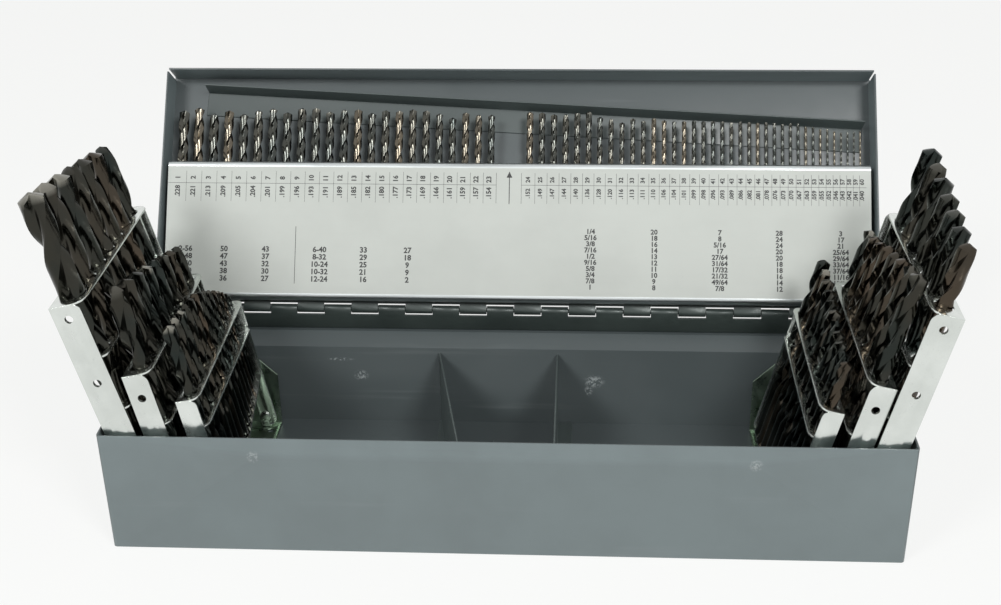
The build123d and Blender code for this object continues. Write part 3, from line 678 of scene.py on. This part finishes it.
# ------------------------------------------------------------------ leaves
LETTER_INCHES = dict(zip("ABCDEFGHIJKLMNOPQRSTUVWXYZ", (
    0.234, 0.238, 0.242, 0.246, 0.250, 0.257, 0.261, 0.266, 0.272, 0.277, 0.281, 0.290, 0.295,
    0.302, 0.316, 0.323, 0.332, 0.339, 0.348, 0.358, 0.368, 0.377, 0.386, 0.397, 0.404, 0.413)))
NUMBER_INCHES = (
    0.228, 0.221, 0.213, 0.209, 0.2055, 0.204, 0.201, 0.199, 0.196, 0.1935, 0.191, 0.189, 0.185,
    0.182, 0.180, 0.177, 0.173, 0.1695, 0.166, 0.161, 0.159, 0.157, 0.154, 0.152, 0.1495, 0.147,
    0.144, 0.1405, 0.136, 0.1285, 0.120, 0.116, 0.113, 0.111, 0.110, 0.1065, 0.104, 0.1015,
    0.0995, 0.098, 0.096, 0.0935, 0.089, 0.086, 0.082, 0.081, 0.0785, 0.076, 0.073, 0.070,
    0.067, 0.0635, 0.0595, 0.055, 0.052, 0.0465, 0.043, 0.042, 0.041, 0.040)


def fractions(first: int, last: int) -> tuple[float, ...]:
    """Drill diameters of whole 64ths of an inch, from the larger first to the smaller last."""
    return tuple(n * INCH / 64 for n in range(first, last - 1, -1))


def letter_row(names: str) -> tuple[float, ...]:
    """Drill diameters of a run of letter sizes."""
    return tuple(LETTER_INCHES[name] * INCH for name in names)


@dataclass
class Leaf:
    """One folding drill leaf: a holed top plate on two end flanges, guide plates, a rest and its drills."""

    side: int
    level: str
    lean: float
    floor_front: float
    floor_rear: float
    sizes: tuple[float, ...]
    pivot_x: float
    pivot_z: float
    top: float
    flange: float
    back: float
    end_gap: float
    guides: tuple[float, ...]
    holes: tuple[float, ...]
    sheet: float = 0.9
    margin: float = 2.3
    corner: float = 7.0
    guide_corner: float = 5.0
    flange_corner: float = 4.4
    tab_width: float = 7.0
    tab_height: float = 26.5
    tab_corner: float = 1.2
    hole_radius: float = 2.0
    clearance: float = 0.15
    front_y: float = -61.95
    rear_y: float = 49.05
    rivet: float = 1.9

    @property
    def name(self) -> str:
        """Name of the leaf's body."""
        return ("left_" if self.side < 0 else "right_") + self.level

    @property
    def across(self) -> Vector:
        """Direction across the leaf, towards the middle of the case."""
        return Vector((-self.side * cos(radians(self.lean)), 0, sin(radians(self.lean))))

    @property
    def upward(self) -> Vector:
        """Direction up along the drills."""
        return Vector((self.side * sin(radians(self.lean)), 0, cos(radians(self.lean))))

    @property
    def ends(self) -> Pair:
        """Y of the outer faces of the flanges."""
        return self.front_y + self.end_gap, self.rear_y - self.end_gap

    @property
    def width(self) -> float:
        """Width of the top plate."""
        return max(self.sizes) + 2 * self.margin

    @property
    def row_w(self) -> float:
        """Place of the drill axes across the leaf."""
        return self.width / 2 - self.back

    @property
    def edge(self) -> float:
        """Place of the flange's inner edge across the leaf."""
        return self.flange - self.back

    @property
    def slope(self) -> float:
        """Rise of the rest from front to rear."""
        return (self.floor_rear - self.floor_front) / (self.ends[1] - self.ends[0])

    def point(self, w: float, y: float, v: float) -> Vector:
        """Point at w across, y deep and v up the leaf, in the case's millimetres."""
        return Vector((self.side * self.pivot_x, y, self.pivot_z)) + self.across * w + self.upward * v

    def places(self) -> list[float]:
        """Y of each drill."""
        low, high = self.ends
        gap = (high - low - 2 * self.sheet - sum(self.sizes)) / (len(self.sizes) + 1)
        found: list[float] = []
        y = low + self.sheet
        for size in self.sizes:
            y += gap + size / 2
            found.append(y)
            y += size / 2
        return found

    def level_place(self, v: float) -> Matrix:
        """Drawing plane square to the drills at height v, x across and y towards -side * Y."""
        return placement(self.point(0, 0, v), self.across, self.upward)

    def plate_outline(self, low: float, high: float, corner: float) -> Outline:
        """Outline of a plate with two rounded corners on its inner edge."""
        left, right = -self.back, self.width - self.back
        near, far = sorted((-self.side * low, -self.side * high))
        radius = min(corner, self.width / 2 - 0.5)
        return (flat((left, near)) + arc((right - radius, near + radius), radius, -90, 0, 10)
                + arc((right - radius, far - radius), radius, 0, 90, 10) + flat((left, far)))

    def drill_holes(self) -> list[Outline]:
        """Outlines of the row's holes in a plate."""
        return [circle((self.row_w, -self.side * y), size / 2 + self.clearance, 26)
                for y, size in zip(self.places(), self.sizes)]

    def flange_outline(self) -> Outline:
        """Outline of an end flange: rounded about its pivot below, one rounded corner at the top."""
        edge, corner = self.edge, self.flange_corner
        low = min(self.floor_front, self.floor_rear) - self.sheet
        top = self.top - 0.25
        if low < -edge:
            outline = flat((-self.back, low), (edge - 2, low), (edge - 2, -edge * 0.6))
            outline += arc((0, 0), edge, -25, 0, 5)
        else:
            outline = flat((-self.back, -edge * 0.72))
            outline += [p for p in arc((0, 0), edge, -123, 0, 16) if p.x > -self.back + 0.2]
        return outline + arc((edge - corner, top - corner), corner, 0, 90, 9) + flat((-self.back, top))

    def upright(self, bm: BMesh, outline: Outline, holes: list[Outline], y: float, inward: int) -> None:
        """Add a flange or a tab, standing square to the case's depth.

        Args:
            bm: mesh that receives it.
            outline: its outline, x across and y up the leaf.
            holes: outlines of its holes.
            y: place of its outer face.
            inward: 1 where its sheet lies behind that face, -1 where it lies before it.
        """
        place = placement(self.point(0, y, 0), self.across, Vector((0, self.side, 0)))
        shift = Matrix.Translation((0, 0, self.sheet if inward * self.side > 0 else 0))
        holed_plate(bm, outline, holes, self.sheet, place @ shift)

    def build_frame(self, material: Material) -> None:
        """Top plate and end flanges as one bent sheet."""
        low, high = self.ends
        bm = bmesh.new()
        holed_plate(bm, self.plate_outline(low + 0.2, high - 0.2, self.corner), self.drill_holes(), self.sheet,
                    self.level_place(self.top))
        for y, inward in ((low, 1), (high, -1)):
            holes = [circle((0, 0), self.rivet + 0.08)]
            holes += [circle(((self.edge - self.back) / 2, hole), self.hole_radius) for hole in self.holes]
            self.upright(bm, self.flange_outline(), holes, y, inward)
        mesh_object(f"{self.name}_bent_frame", bm, material, self.name, "bright_zinc", (f"{self.name}_leaf",))

    def build_guides(self, material: Material) -> None:
        """Lower guide plates with their upturned tabs, and the sloping rest."""
        low, high = self.ends
        inner_low, inner_high = low + self.sheet, high - self.sheet
        bm = bmesh.new()
        middle, half, corner = (self.edge - self.back) / 2, self.tab_width / 2, self.tab_corner
        for guide in self.guides:
            holed_plate(bm, self.plate_outline(inner_low, inner_high, self.guide_corner), self.drill_holes(),
                        self.sheet, self.level_place(guide))
            reach = min(self.tab_height, self.top - self.sheet - guide - 1)
            foot = guide - self.sheet
            for y, inward in ((inner_low, 1), (inner_high, -1)):
                outline = flat((middle - half, foot), (middle + half, foot))
                outline += arc((middle + half - corner, foot + reach - corner), corner, 0, 90, 5)
                outline += arc((middle - half + corner, foot + reach - corner), corner, 90, 180, 5)
                holes = [circle((middle, hole), self.hole_radius) for hole in self.holes
                         if guide < hole < guide + reach]
                self.upright(bm, outline, holes, y, inward)
        self.add_rest(bm, inner_low + 0.7, inner_high - 0.7)
        mesh_object(f"{self.name}_plates", bm, material, self.name, "bright_zinc", (f"{self.name}_guides",))

    def add_rest(self, bm: BMesh, front: float, rear: float) -> None:
        """Add the sloping strip on which the drills stand, from y = front to y = rear."""
        rest = bmesh.new()
        left, right = 1 - self.back, self.edge - 1
        ring = ring_of(rest, flat((left, front), (left, rear), (right, rear), (right, front)))
        bmesh.ops.contextual_create(rest, geom=ring)
        for vert in rest.verts:
            vert.co.z = self.floor_front + self.slope * (vert.co.y - self.ends[0])
        made = bmesh.ops.extrude_face_region(rest, geom=rest.faces[:])["geom"]
        bmesh.ops.translate(rest, verts=verts_of(made), vec=(0, 0, -self.sheet))
        turn = Matrix((self.across, Vector((0, 1, 0)), self.upward)).transposed().to_4x4()
        rest.transform(Matrix.Scale(MM, 4) @ Matrix.Translation(self.point(0, 0, 0)) @ turn)
        join(bm, rest)

    def build_drills(self, material: Material) -> None:
        """All drills of the row, front to rear; those of an outer leaf are pieces of their own."""
        dress = dict(material=material, body=self.name, slot="black_oxide", angle=40)
        chance = random.Random(len(self.name) * 17 + self.side)
        big = self.level == "outer"
        bm = bmesh.new()
        for index, (y, size) in enumerate(zip(self.places(), self.sizes), start=1):
            foot = self.floor_front + self.slope * (y - self.ends[0]) + abs(self.slope) * size / 2 + 0.05
            place = placement(self.point(self.row_w, y, foot), self.across, self.upward)
            if big:
                bm = bmesh.new()
            TwistDrill(size, place, land_points=6 if big else 5, flute_points=9 if big else 7,
                       step=12 if big else 16, tone=chance.choice((0.0, 0.0, 0.05, 0.1, 0.25, 0.6)),
                       ground=chance.choice((0.0, 0.0, 0.1, 0.2, 0.8)), turn=chance.uniform(0, 180)).add_to(bm)
            if big:
                node = f"{self.name}_drill_{index}"
                mesh_object(f"{node}_twist", bm, replaces=(node,), **dress)
        if not big:
            mesh_object(f"{self.name}_twist_drills", bm, replaces=(f"{self.name}_drills",), **dress)


OUTER = dict(level="outer", pivot_x=176.3, pivot_z=38.5, top=96.0, flange=14.6, back=5.8, end_gap=0.3,
             guides=(67.0, 38.5), holes=(88.7, 54.2))
MIDDLE = dict(level="middle", pivot_x=158.0, pivot_z=22.5, top=73.5, flange=11.9, back=4.5, end_gap=2.4,
              guides=(45.0,), holes=(60.8,))
INNER = dict(level="inner", pivot_x=137.2, pivot_z=8.6, top=72.6, flange=9.7, back=3.5, end_gap=4.4,
             guides=(56.6,), holes=())


@dataclass
class Leaves:
    """The six leaves, three at each end of the case, with their brackets and rivets."""

    leaves: tuple[Leaf, ...] = (
        Leaf(side=-1, lean=14.0, floor_front=-4.7, floor_rear=1.5, sizes=fractions(32, 26), **OUTER),
        Leaf(side=-1, lean=11.5, floor_front=-14.5, floor_rear=-14.0, sizes=fractions(25, 18), **MIDDLE),
        Leaf(side=-1, lean=10.5, floor_front=2.0, floor_rear=28.0, sizes=fractions(17, 4), **INNER),
        Leaf(side=1, lean=13.5, floor_front=4.0, floor_rear=2.0, sizes=letter_row("TUVWXYZ"), **OUTER),
        Leaf(side=1, lean=13.5, floor_front=7.0, floor_rear=-3.0, sizes=letter_row("SRQPONML"), **MIDDLE),
        Leaf(side=1, lean=13.5, floor_front=-2.0, floor_rear=-3.0, sizes=letter_row("ABCDEFGHIJK"), **INNER))

    def build(self, finishes: Finishes) -> None:
        """Build the leaves and dress their brackets."""
        for leaf in self.leaves:
            leaf.build_frame(finishes[Finish.ZINC])
            leaf.build_guides(finishes[Finish.ZINC])
            leaf.build_drills(finishes[Finish.BLACK])
        for side in ("left", "right"):
            soften(f"{side}_bracket", finishes[Finish.BRACKET], 0.25)
            soften(f"{side}_rivets", finishes[Finish.ZINC], 0.12)


# ------------------------------------------------------------------ number drill rack
@dataclass
class NumberRack:
    """The tilting rack in the lid: silvered index plate with print, rest strip and sixty drills.

    Heights are up the plate and depths out of it, both from the rack's pivot.
    """

    lean: float = 37.2
    tilt: float = 3.9
    hinge_y: float = 65.05
    hinge_z: float = 65.7
    pivot_up: float = 6.9
    pivot_out: float = 8.0
    width: float = 380.4
    sheet: float = 0.9
    height: float = 76.0
    bend: float = 3.0
    foot: float = 3.8
    face: float = 3.2
    row: float = -3.2
    clearance: float = 0.22
    pin: float = 1.58
    first: float = -184.2
    coarse_count: int = 23
    coarse_pitch: Pair = (8.45, 7.05)
    gap: float = 21.1
    fine_pitch: Pair = (6.6, 3.31)
    rest: tuple[Pair, ...] = ((-184.3, 4.9), (7.2, 22.3), (185.6, 47.6))
    number_size: float = 3.7
    number_drop: float = 9.6
    decimal_drop: float = 17.1
    rule_drops: Pair = (5.9, 22.7)
    # columns of plain sizes: place, and the words down the column
    left_columns: tuple[tuple[float, str], ...] = (
        (-179.0, "2-56 3-48 4-40 5-40 6-32"), (-157.8, "50 47 43 38 36"), (-135.0, "43 37 32 30 27"),
        (-105.5, "6-40 8-32 10-24 10-32 12-24"), (-81.5, "33 29 25 21 16"), (-57.6, "27 18 9 9 2"))
    right_columns: tuple[tuple[float, str], ...] = (
        (41.0, "1/4 5/16 3/8 7/16 1/2 9/16 5/8 3/4 7/8 1"), (75.0, "20 18 16 14 13 12 11 10 9 8"),
        (110.0, "7 8 5/16 17 27/64 31/64 17/32 21/32 49/64 7/8"), (141.5, "28 24 24 20 20 18 18 16 14 12"),
        (174.0, "3 17 21 25/64 29/64 33/64 37/64 11/16 13/16 15/16"))

    @staticmethod
    def directions(lean: float) -> tuple[Vector, Vector]:
        """Directions up and out of a plate that leans back by so many degrees."""
        angle = radians(lean)
        return Vector((0, sin(angle), cos(angle))), Vector((0, -cos(angle), sin(angle)))

    @property
    def along(self) -> Vector:
        """Direction up the index plate."""
        return self.directions(self.lean - self.tilt)[0]

    @property
    def outward(self) -> Vector:
        """Direction out of the index plate, towards the viewer."""
        return self.directions(self.lean - self.tilt)[1]

    @property
    def origin(self) -> Vector:
        """Pivot of the rack."""
        up, out = self.directions(self.lean)
        return Vector((0, self.hinge_y, self.hinge_z)) + up * self.pivot_up + out * self.pivot_out

    @property
    def top(self) -> float:
        """Height of the plate's top edge above the pivot."""
        return self.height - self.foot

    def positions(self) -> list[float]:
        """X of each drill."""
        fine_count = len(NUMBER_INCHES) - self.coarse_count
        x = self.first - self.gap
        found: list[float] = []
        for count, (wide, narrow) in ((self.coarse_count, self.coarse_pitch), (fine_count, self.fine_pitch)):
            x += self.gap
            found.append(x)
            for index in range(count - 1):
                x += wide + (narrow - wide) * index / (count - 2)
                found.append(x)
        return found

    def rest_height(self, x: float) -> float:
        """Height of the rest above the pivot at x."""
        (x0, z0), (x1, z1), (x2, z2) = self.rest
        if x < x1:
            return z0 + (z1 - z0) * (x - x0) / (x1 - x0)
        return z1 + (z2 - z1) * (x - x1) / (x2 - x1)

    def build_drills(self, material: Material) -> None:
        """The sixty number drills in two groups."""
        chance = random.Random(60)
        places = list(zip(self.positions(), NUMBER_INCHES))
        for name, group in (("number_drills_coarse", places[:self.coarse_count]),
                            ("number_drills_fine", places[self.coarse_count:])):
            bm = bmesh.new()
            for x, inches in group:
                size = inches * INCH
                base = self.rest_height(x + size / 2) + 0.05
                origin = self.origin + self.outward * self.row + self.along * base + Vector((x, 0, 0))
                TwistDrill(size, placement(origin, X_AXIS, self.along), land_points=5, flute_points=5, step=20,
                           tone=chance.choice((0.0, 0.05, 0.1, 0.5)), ground=chance.choice((0.0, 0.1, 0.5)),
                           turn=chance.uniform(0, 180),
                           extra=chance.uniform(-1, 1) * (1.6 if inches > 0.1 else 0.7)).add_to(bm)
            mesh_object(f"{name}_twist", bm, material, "number_rack", "bright_drill", (name,), 40)

    def write(self, bm: BMesh, words: str, size: float, x: float, y: float, turned: bool = False) -> None:
        """Add the flat raised print of a plain number.

        Args:
            bm: mesh in the plate's drawing plane.
            words: the number.
            size: letter height scale in millimetres.
            x: middle of the number along the plate.
            y: middle of the number up the plate.
            turned: True where it reads upwards.
        """
        curve = bpy.data.curves.new("number", "FONT")
        curve.body = words
        curve.size = size
        curve.offset = size * 0.036
        curve.extrude = 0.006
        curve.resolution_u = 2
        curve.align_x = "CENTER"
        curve.align_y = "CENTER"
        carrier = bpy.data.objects.new("number", curve)
        bpy.context.scene.collection.objects.link(carrier)
        bpy.context.view_layer.update()
        mesh = bpy.data.meshes.new_from_object(carrier)
        mesh.transform(Matrix.Translation((x, y, 0)) @ Matrix.Rotation(pi / 2 if turned else 0, 4, "Z"))
        bm.from_mesh(mesh)
        bpy.data.objects.remove(carrier)
        bpy.data.curves.remove(curve)
        bpy.data.meshes.remove(mesh)

    def rule(self, bm: BMesh, x: float, width: float, low: float, high: float) -> None:
        """Add a printed rule round x, from height low to high."""
        box = bmesh.new()
        bmesh.ops.create_cube(box, size=1.0)
        size = Matrix.Diagonal((width, high - low, 0.012, 1))
        box.transform(Matrix.Translation((x, (low + high) / 2, 0)) @ size)
        join(bm, box)

    def build_print(self, material: Material) -> None:
        """Index numbers over their decimals, the rules between them, an arrow, and plain number columns."""
        bm = bmesh.new()
        places = self.positions()
        top, last = self.top, self.coarse_count - 1
        for index, (x, inches) in enumerate(zip(places, NUMBER_INCHES), start=1):
            size = self.number_size * (1.0 if index <= self.coarse_count else 0.86)
            self.write(bm, str(index), size, x - 0.4, top - self.number_drop, True)
            self.write(bm, f".{int(inches * 1000 + 1e-6):03d}", size, x - 0.4, top - self.decimal_drop, True)
        high, low = (top - drop for drop in self.rule_drops)
        coarse_end, fine_start = places[last] + 3.5, places[last + 1] - 4.0
        for index, (first, second) in enumerate(zip(places, places[1:])):
            if index == last:
                for x in (coarse_end, fine_start):
                    self.rule(bm, x, 0.18, low, high)
            else:
                self.rule(bm, (first + second) / 2, 0.16, low, high)
        for x0, x1 in ((places[0] - 5.8, coarse_end), (fine_start, places[-1] + 2.0)):
            self.rule(bm, (x0 + x1) / 2, x1 - x0, top - 12.7, top - 12.5)
        x = places[last] + 10.6
        self.rule(bm, x, 0.44, top - 23.0, top - 8.0)
        arrow = bmesh.new()
        bmesh.ops.create_cone(arrow, segments=3, radius1=2.0, radius2=2.0, depth=0.012, cap_ends=True)
        arrow.transform(Matrix.Translation((x, top - 7.4, 0)) @ Matrix.Diagonal((0.9, 1.15, 1, 1)))
        join(bm, arrow)
        for columns, size, drop, pitch in ((self.left_columns, 4.1, 48.9, 4.02),
                                           (self.right_columns, 3.7, 37.7, 3.34)):
            for x, words in columns:
                for index, word in enumerate(words.split()):
                    self.write(bm, word, size, x, top - drop - pitch * index)
        self.rule(bm, -118.75, 0.3, top - 67.5, top - 36.2)
        bm.transform(placement(self.origin + self.outward * (self.face + 0.004), X_AXIS, self.outward))
        mesh_object("index_print", bm, material, "number_rack", "printed_plate", angle=60)

    def build_plate(self, material: Material) -> None:
        """Index plate: face, top bent back over the drills, foot bent under, and its end plates."""
        bm = bmesh.new()
        tilt = radians(self.tilt)
        depth = self.face + (self.pivot_out + self.top * sin(tilt) - 1.7) / cos(tilt) - 0.06
        top, bottom, half, bend = self.top, -self.foot, self.width / 2, self.bend
        side = placement(self.origin, self.along, X_AXIS)
        up = 1 if (side.to_3x3() @ Vector((0, 1, 0))).dot(self.outward) > 0 else -1
        turns = [pi / 2 * index / 8 for index in range(9)]
        profile = [(bottom, self.face - 5.6)]
        profile += [(bottom + bend - bend * cos(a), self.face - bend + bend * sin(a)) for a in turns]
        profile += [(top - bend + bend * sin(a), self.face - bend + bend * cos(a)) for a in turns]
        strip = bmesh.new()
        verts = [strip.verts.new((s, up * t, -half)) for s, t in profile]
        edges = [strip.edges.new(pair) for pair in zip(verts, verts[1:])]
        made = bmesh.ops.extrude_edge_only(strip, edges=edges)["geom"]
        bmesh.ops.translate(strip, verts=verts_of(made), vec=(0, 0, self.width))
        bmesh.ops.recalc_face_normals(strip, faces=strip.faces)
        middle = max(strip.faces, key=lambda face: face.calc_area())
        if middle.normal.y * up < 0:
            bmesh.ops.reverse_faces(strip, faces=strip.faces)
        bmesh.ops.solidify(strip, geom=strip.faces[:], thickness=self.sheet)
        strip.transform(side)
        join(bm, strip)
        place = placement(self.origin + self.along * top, X_AXIS, self.along)
        sign = 1 if (place.to_3x3() @ Vector((0, 1, 0))).dot(self.outward) > 0 else -1
        near, far = sign * (self.face - bend), sign * (self.face - depth)
        outline = flat((-half, near), (half, near), (half, far), (-half, far))
        holes = [circle((x, sign * self.row), inches * INCH / 2 + self.clearance, 20)
                 for x, inches in zip(self.positions(), NUMBER_INCHES)]
        holed_plate(bm, outline, holes, self.sheet, place, lip=0.1)
        inner = self.face - 0.5
        end = flat(*((s, up * t) for s, t in (
            (bottom + 2.0, inner - 0.5), (bottom + bend, inner), (top - bend, inner), (top - 1.8, inner - 0.6),
            (top - 0.5, inner - bend), (top - 0.5, self.face - depth), (top - 2 * depth, self.face - 5.6),
            (bottom + 0.5, self.face - 5.6), (bottom + 0.5, inner - bend))))
        for x in (self.sheet - half, half):
            place = placement(self.origin + X_AXIS * x, self.along, X_AXIS)
            holed_plate(bm, end, [circle((0, 0), self.pin)], self.sheet, place)
        mesh_object("index_plate", bm, material, "number_rack", "printed_plate", ("rack_face",), 40)

    def build(self, finishes: Finishes) -> None:
        """Build the whole rack."""
        self.build_plate(finishes[Finish.PLATE])
        self.build_print(finishes[Finish.INK])
        self.build_drills(finishes[Finish.STEEL])
        for node in ("rack_rest", "rack_pins"):
            soften(node, finishes[Finish.ZINC], 0.15)


# ------------------------------------------------------------------ case
@dataclass
class Case:
    """Base, lid, hinge, retainer strip and dividers."""

    edge: float = 0.3
    hinge_edge: float = 0.07

    def build(self, finishes: Finishes) -> None:
        """Dress the sheet parts of the case."""
        for node in ("base_tray", "lid_shell"):
            soften(node, finishes[Finish.PAINT], self.edge, 3)
        # these parts in the case's interior take the enamel darkened as painted shade
        for node in ("retainer_strip", "left_divider", "right_divider"):
            soften(node, finishes[Finish.INNER_PAINT], self.edge)
        # the hinge parts take their darkened colour, painted shade
        for node in ("hinge_base_leaf", "hinge_lid_leaf", "hinge_pin"):
            soften(node, finishes[Finish.HINGE], self.hinge_edge)


# ------------------------------------------------------------------ studio
@dataclass
class Studio:
    """Pale floor, white surroundings, soft lamps and the camera. Angles are in degrees."""

    lens: float = 52.374
    place: Triple = (34.109, -633.997, 434.398)
    pitch: float = 27.4598
    yaw: float = -3.3845
    roll: float = -0.8882
    floor_colour: Colour = (0.9, 0.91, 0.9)
    floor_white: Colour = (0.985, 0.99, 0.98)
    floor_share: float = 0.84
    soft_light: float = 0.24
    lamp_size: float = 0.5
    # name, place in metres, power
    lamps: tuple[tuple[str, Triple, float], ...] = (("key", (0.75, -1.15, 1.35), 17.0),
                                                    ("fill", (-0.95, -1.1, 1.3), 15.0))

    def camera(self) -> None:
        """Camera at the photograph's place."""
        data = bpy.data.cameras.new("camera")
        data.lens = self.lens
        data.sensor_width = 36.0
        data.clip_start = 0.01
        data.clip_end = 50.0
        obj = bpy.data.objects.new("camera", data)
        bpy.context.scene.collection.objects.link(obj)
        pitch, yaw, roll = radians(self.pitch), radians(self.yaw), radians(self.roll)
        ahead = Vector((sin(yaw) * cos(pitch), cos(yaw) * cos(pitch), -sin(pitch)))
        right = Vector((cos(yaw), -sin(yaw), 0))
        above = right.cross(ahead)
        x_dir = right * cos(roll) + above * sin(roll)
        y_dir = above * cos(roll) - right * sin(roll)
        turn = Matrix((x_dir, y_dir, -ahead)).transposed().to_4x4()
        obj.matrix_world = Matrix.Translation(Vector(self.place) * MM) @ turn
        bpy.context.scene.camera = obj

    def floor(self) -> None:
        """Large pale floor that keeps the case's shadow."""
        bm = bmesh.new()
        bmesh.ops.create_grid(bm, x_segments=2, y_segments=2, size=6.0)
        mesh = bpy.data.meshes.new("floor")
        bm.to_mesh(mesh)
        bm.free()
        obj = bpy.data.objects.new("floor", mesh)
        obj.location = (0, 0, -0.0002)
        bpy.context.scene.collection.objects.link(obj)
        material, tree = new_material("pale_floor")
        shader = tree.add("BsdfPrincipled", in_Roughness=0.6, in_Base_Color=(*self.floor_colour, 1))
        white = tree.add("Emission", in_Strength=1.0, in_Color=(*self.floor_white, 1))
        mix = tree.add("MixShader")
        tree.link(tree.math("MULTIPLY", tree.surroundings(), self.floor_share), mix.inputs[0])
        tree.link(shader.outputs[0], mix.inputs[1])
        tree.link(white.outputs[0], mix.inputs[2])
        tree.output(mix)
        mesh.materials.append(material)

    def world(self) -> None:
        """White surroundings for what is seen, softer light for what is lit."""
        world = bpy.data.worlds.new("studio")
        bpy.context.scene.world = world
        world.use_nodes = True
        tree = Tree(world.node_tree)
        soft = tree.add("Background", in_Strength=self.soft_light, in_Color=(0.98, 1.0, 1.0, 1))
        white = tree.add("Background", in_Strength=1.0, in_Color=(1.0, 1.0, 1.0, 1))
        mix = tree.add("MixShader")
        tree.link(tree.surroundings(), mix.inputs[0])
        tree.link(soft.outputs[0], mix.inputs[1])
        tree.link(white.outputs[0], mix.inputs[2])
        tree.link(mix.outputs[0], tree.add("OutputWorld").inputs[0])

    def build(self) -> None:
        """Set up the studio; each lamp is a soft square turned to the case."""
        self.camera()
        self.floor()
        self.world()
        for name, place, power in self.lamps:
            data = bpy.data.lights.new(name, "AREA")
            data.shape = "SQUARE"
            data.size = self.lamp_size
            data.energy = power
            obj = bpy.data.objects.new(name, data)
            bpy.context.scene.collection.objects.link(obj)
            obj.location = place
            obj.rotation_euler = (Vector((0, 0, 0.05)) - Vector(place)).to_track_quat("-Z", "Y").to_euler()
        bpy.context.scene.view_settings.view_transform = "Standard"


def main() -> None:
    """Build the case, its finishes and the studio."""
    logging.basicConfig(level=logging.INFO, format="%(name)s %(message)s")
    Studio().build()
    wear_nodes = wear_group()
    finishes = {finish: finish.value.make(wear_nodes) for finish in Finish}
    for part in (Case(), NumberRack(), Leaves()):
        part.build(finishes)


if __name__ == "__main__":
    main()
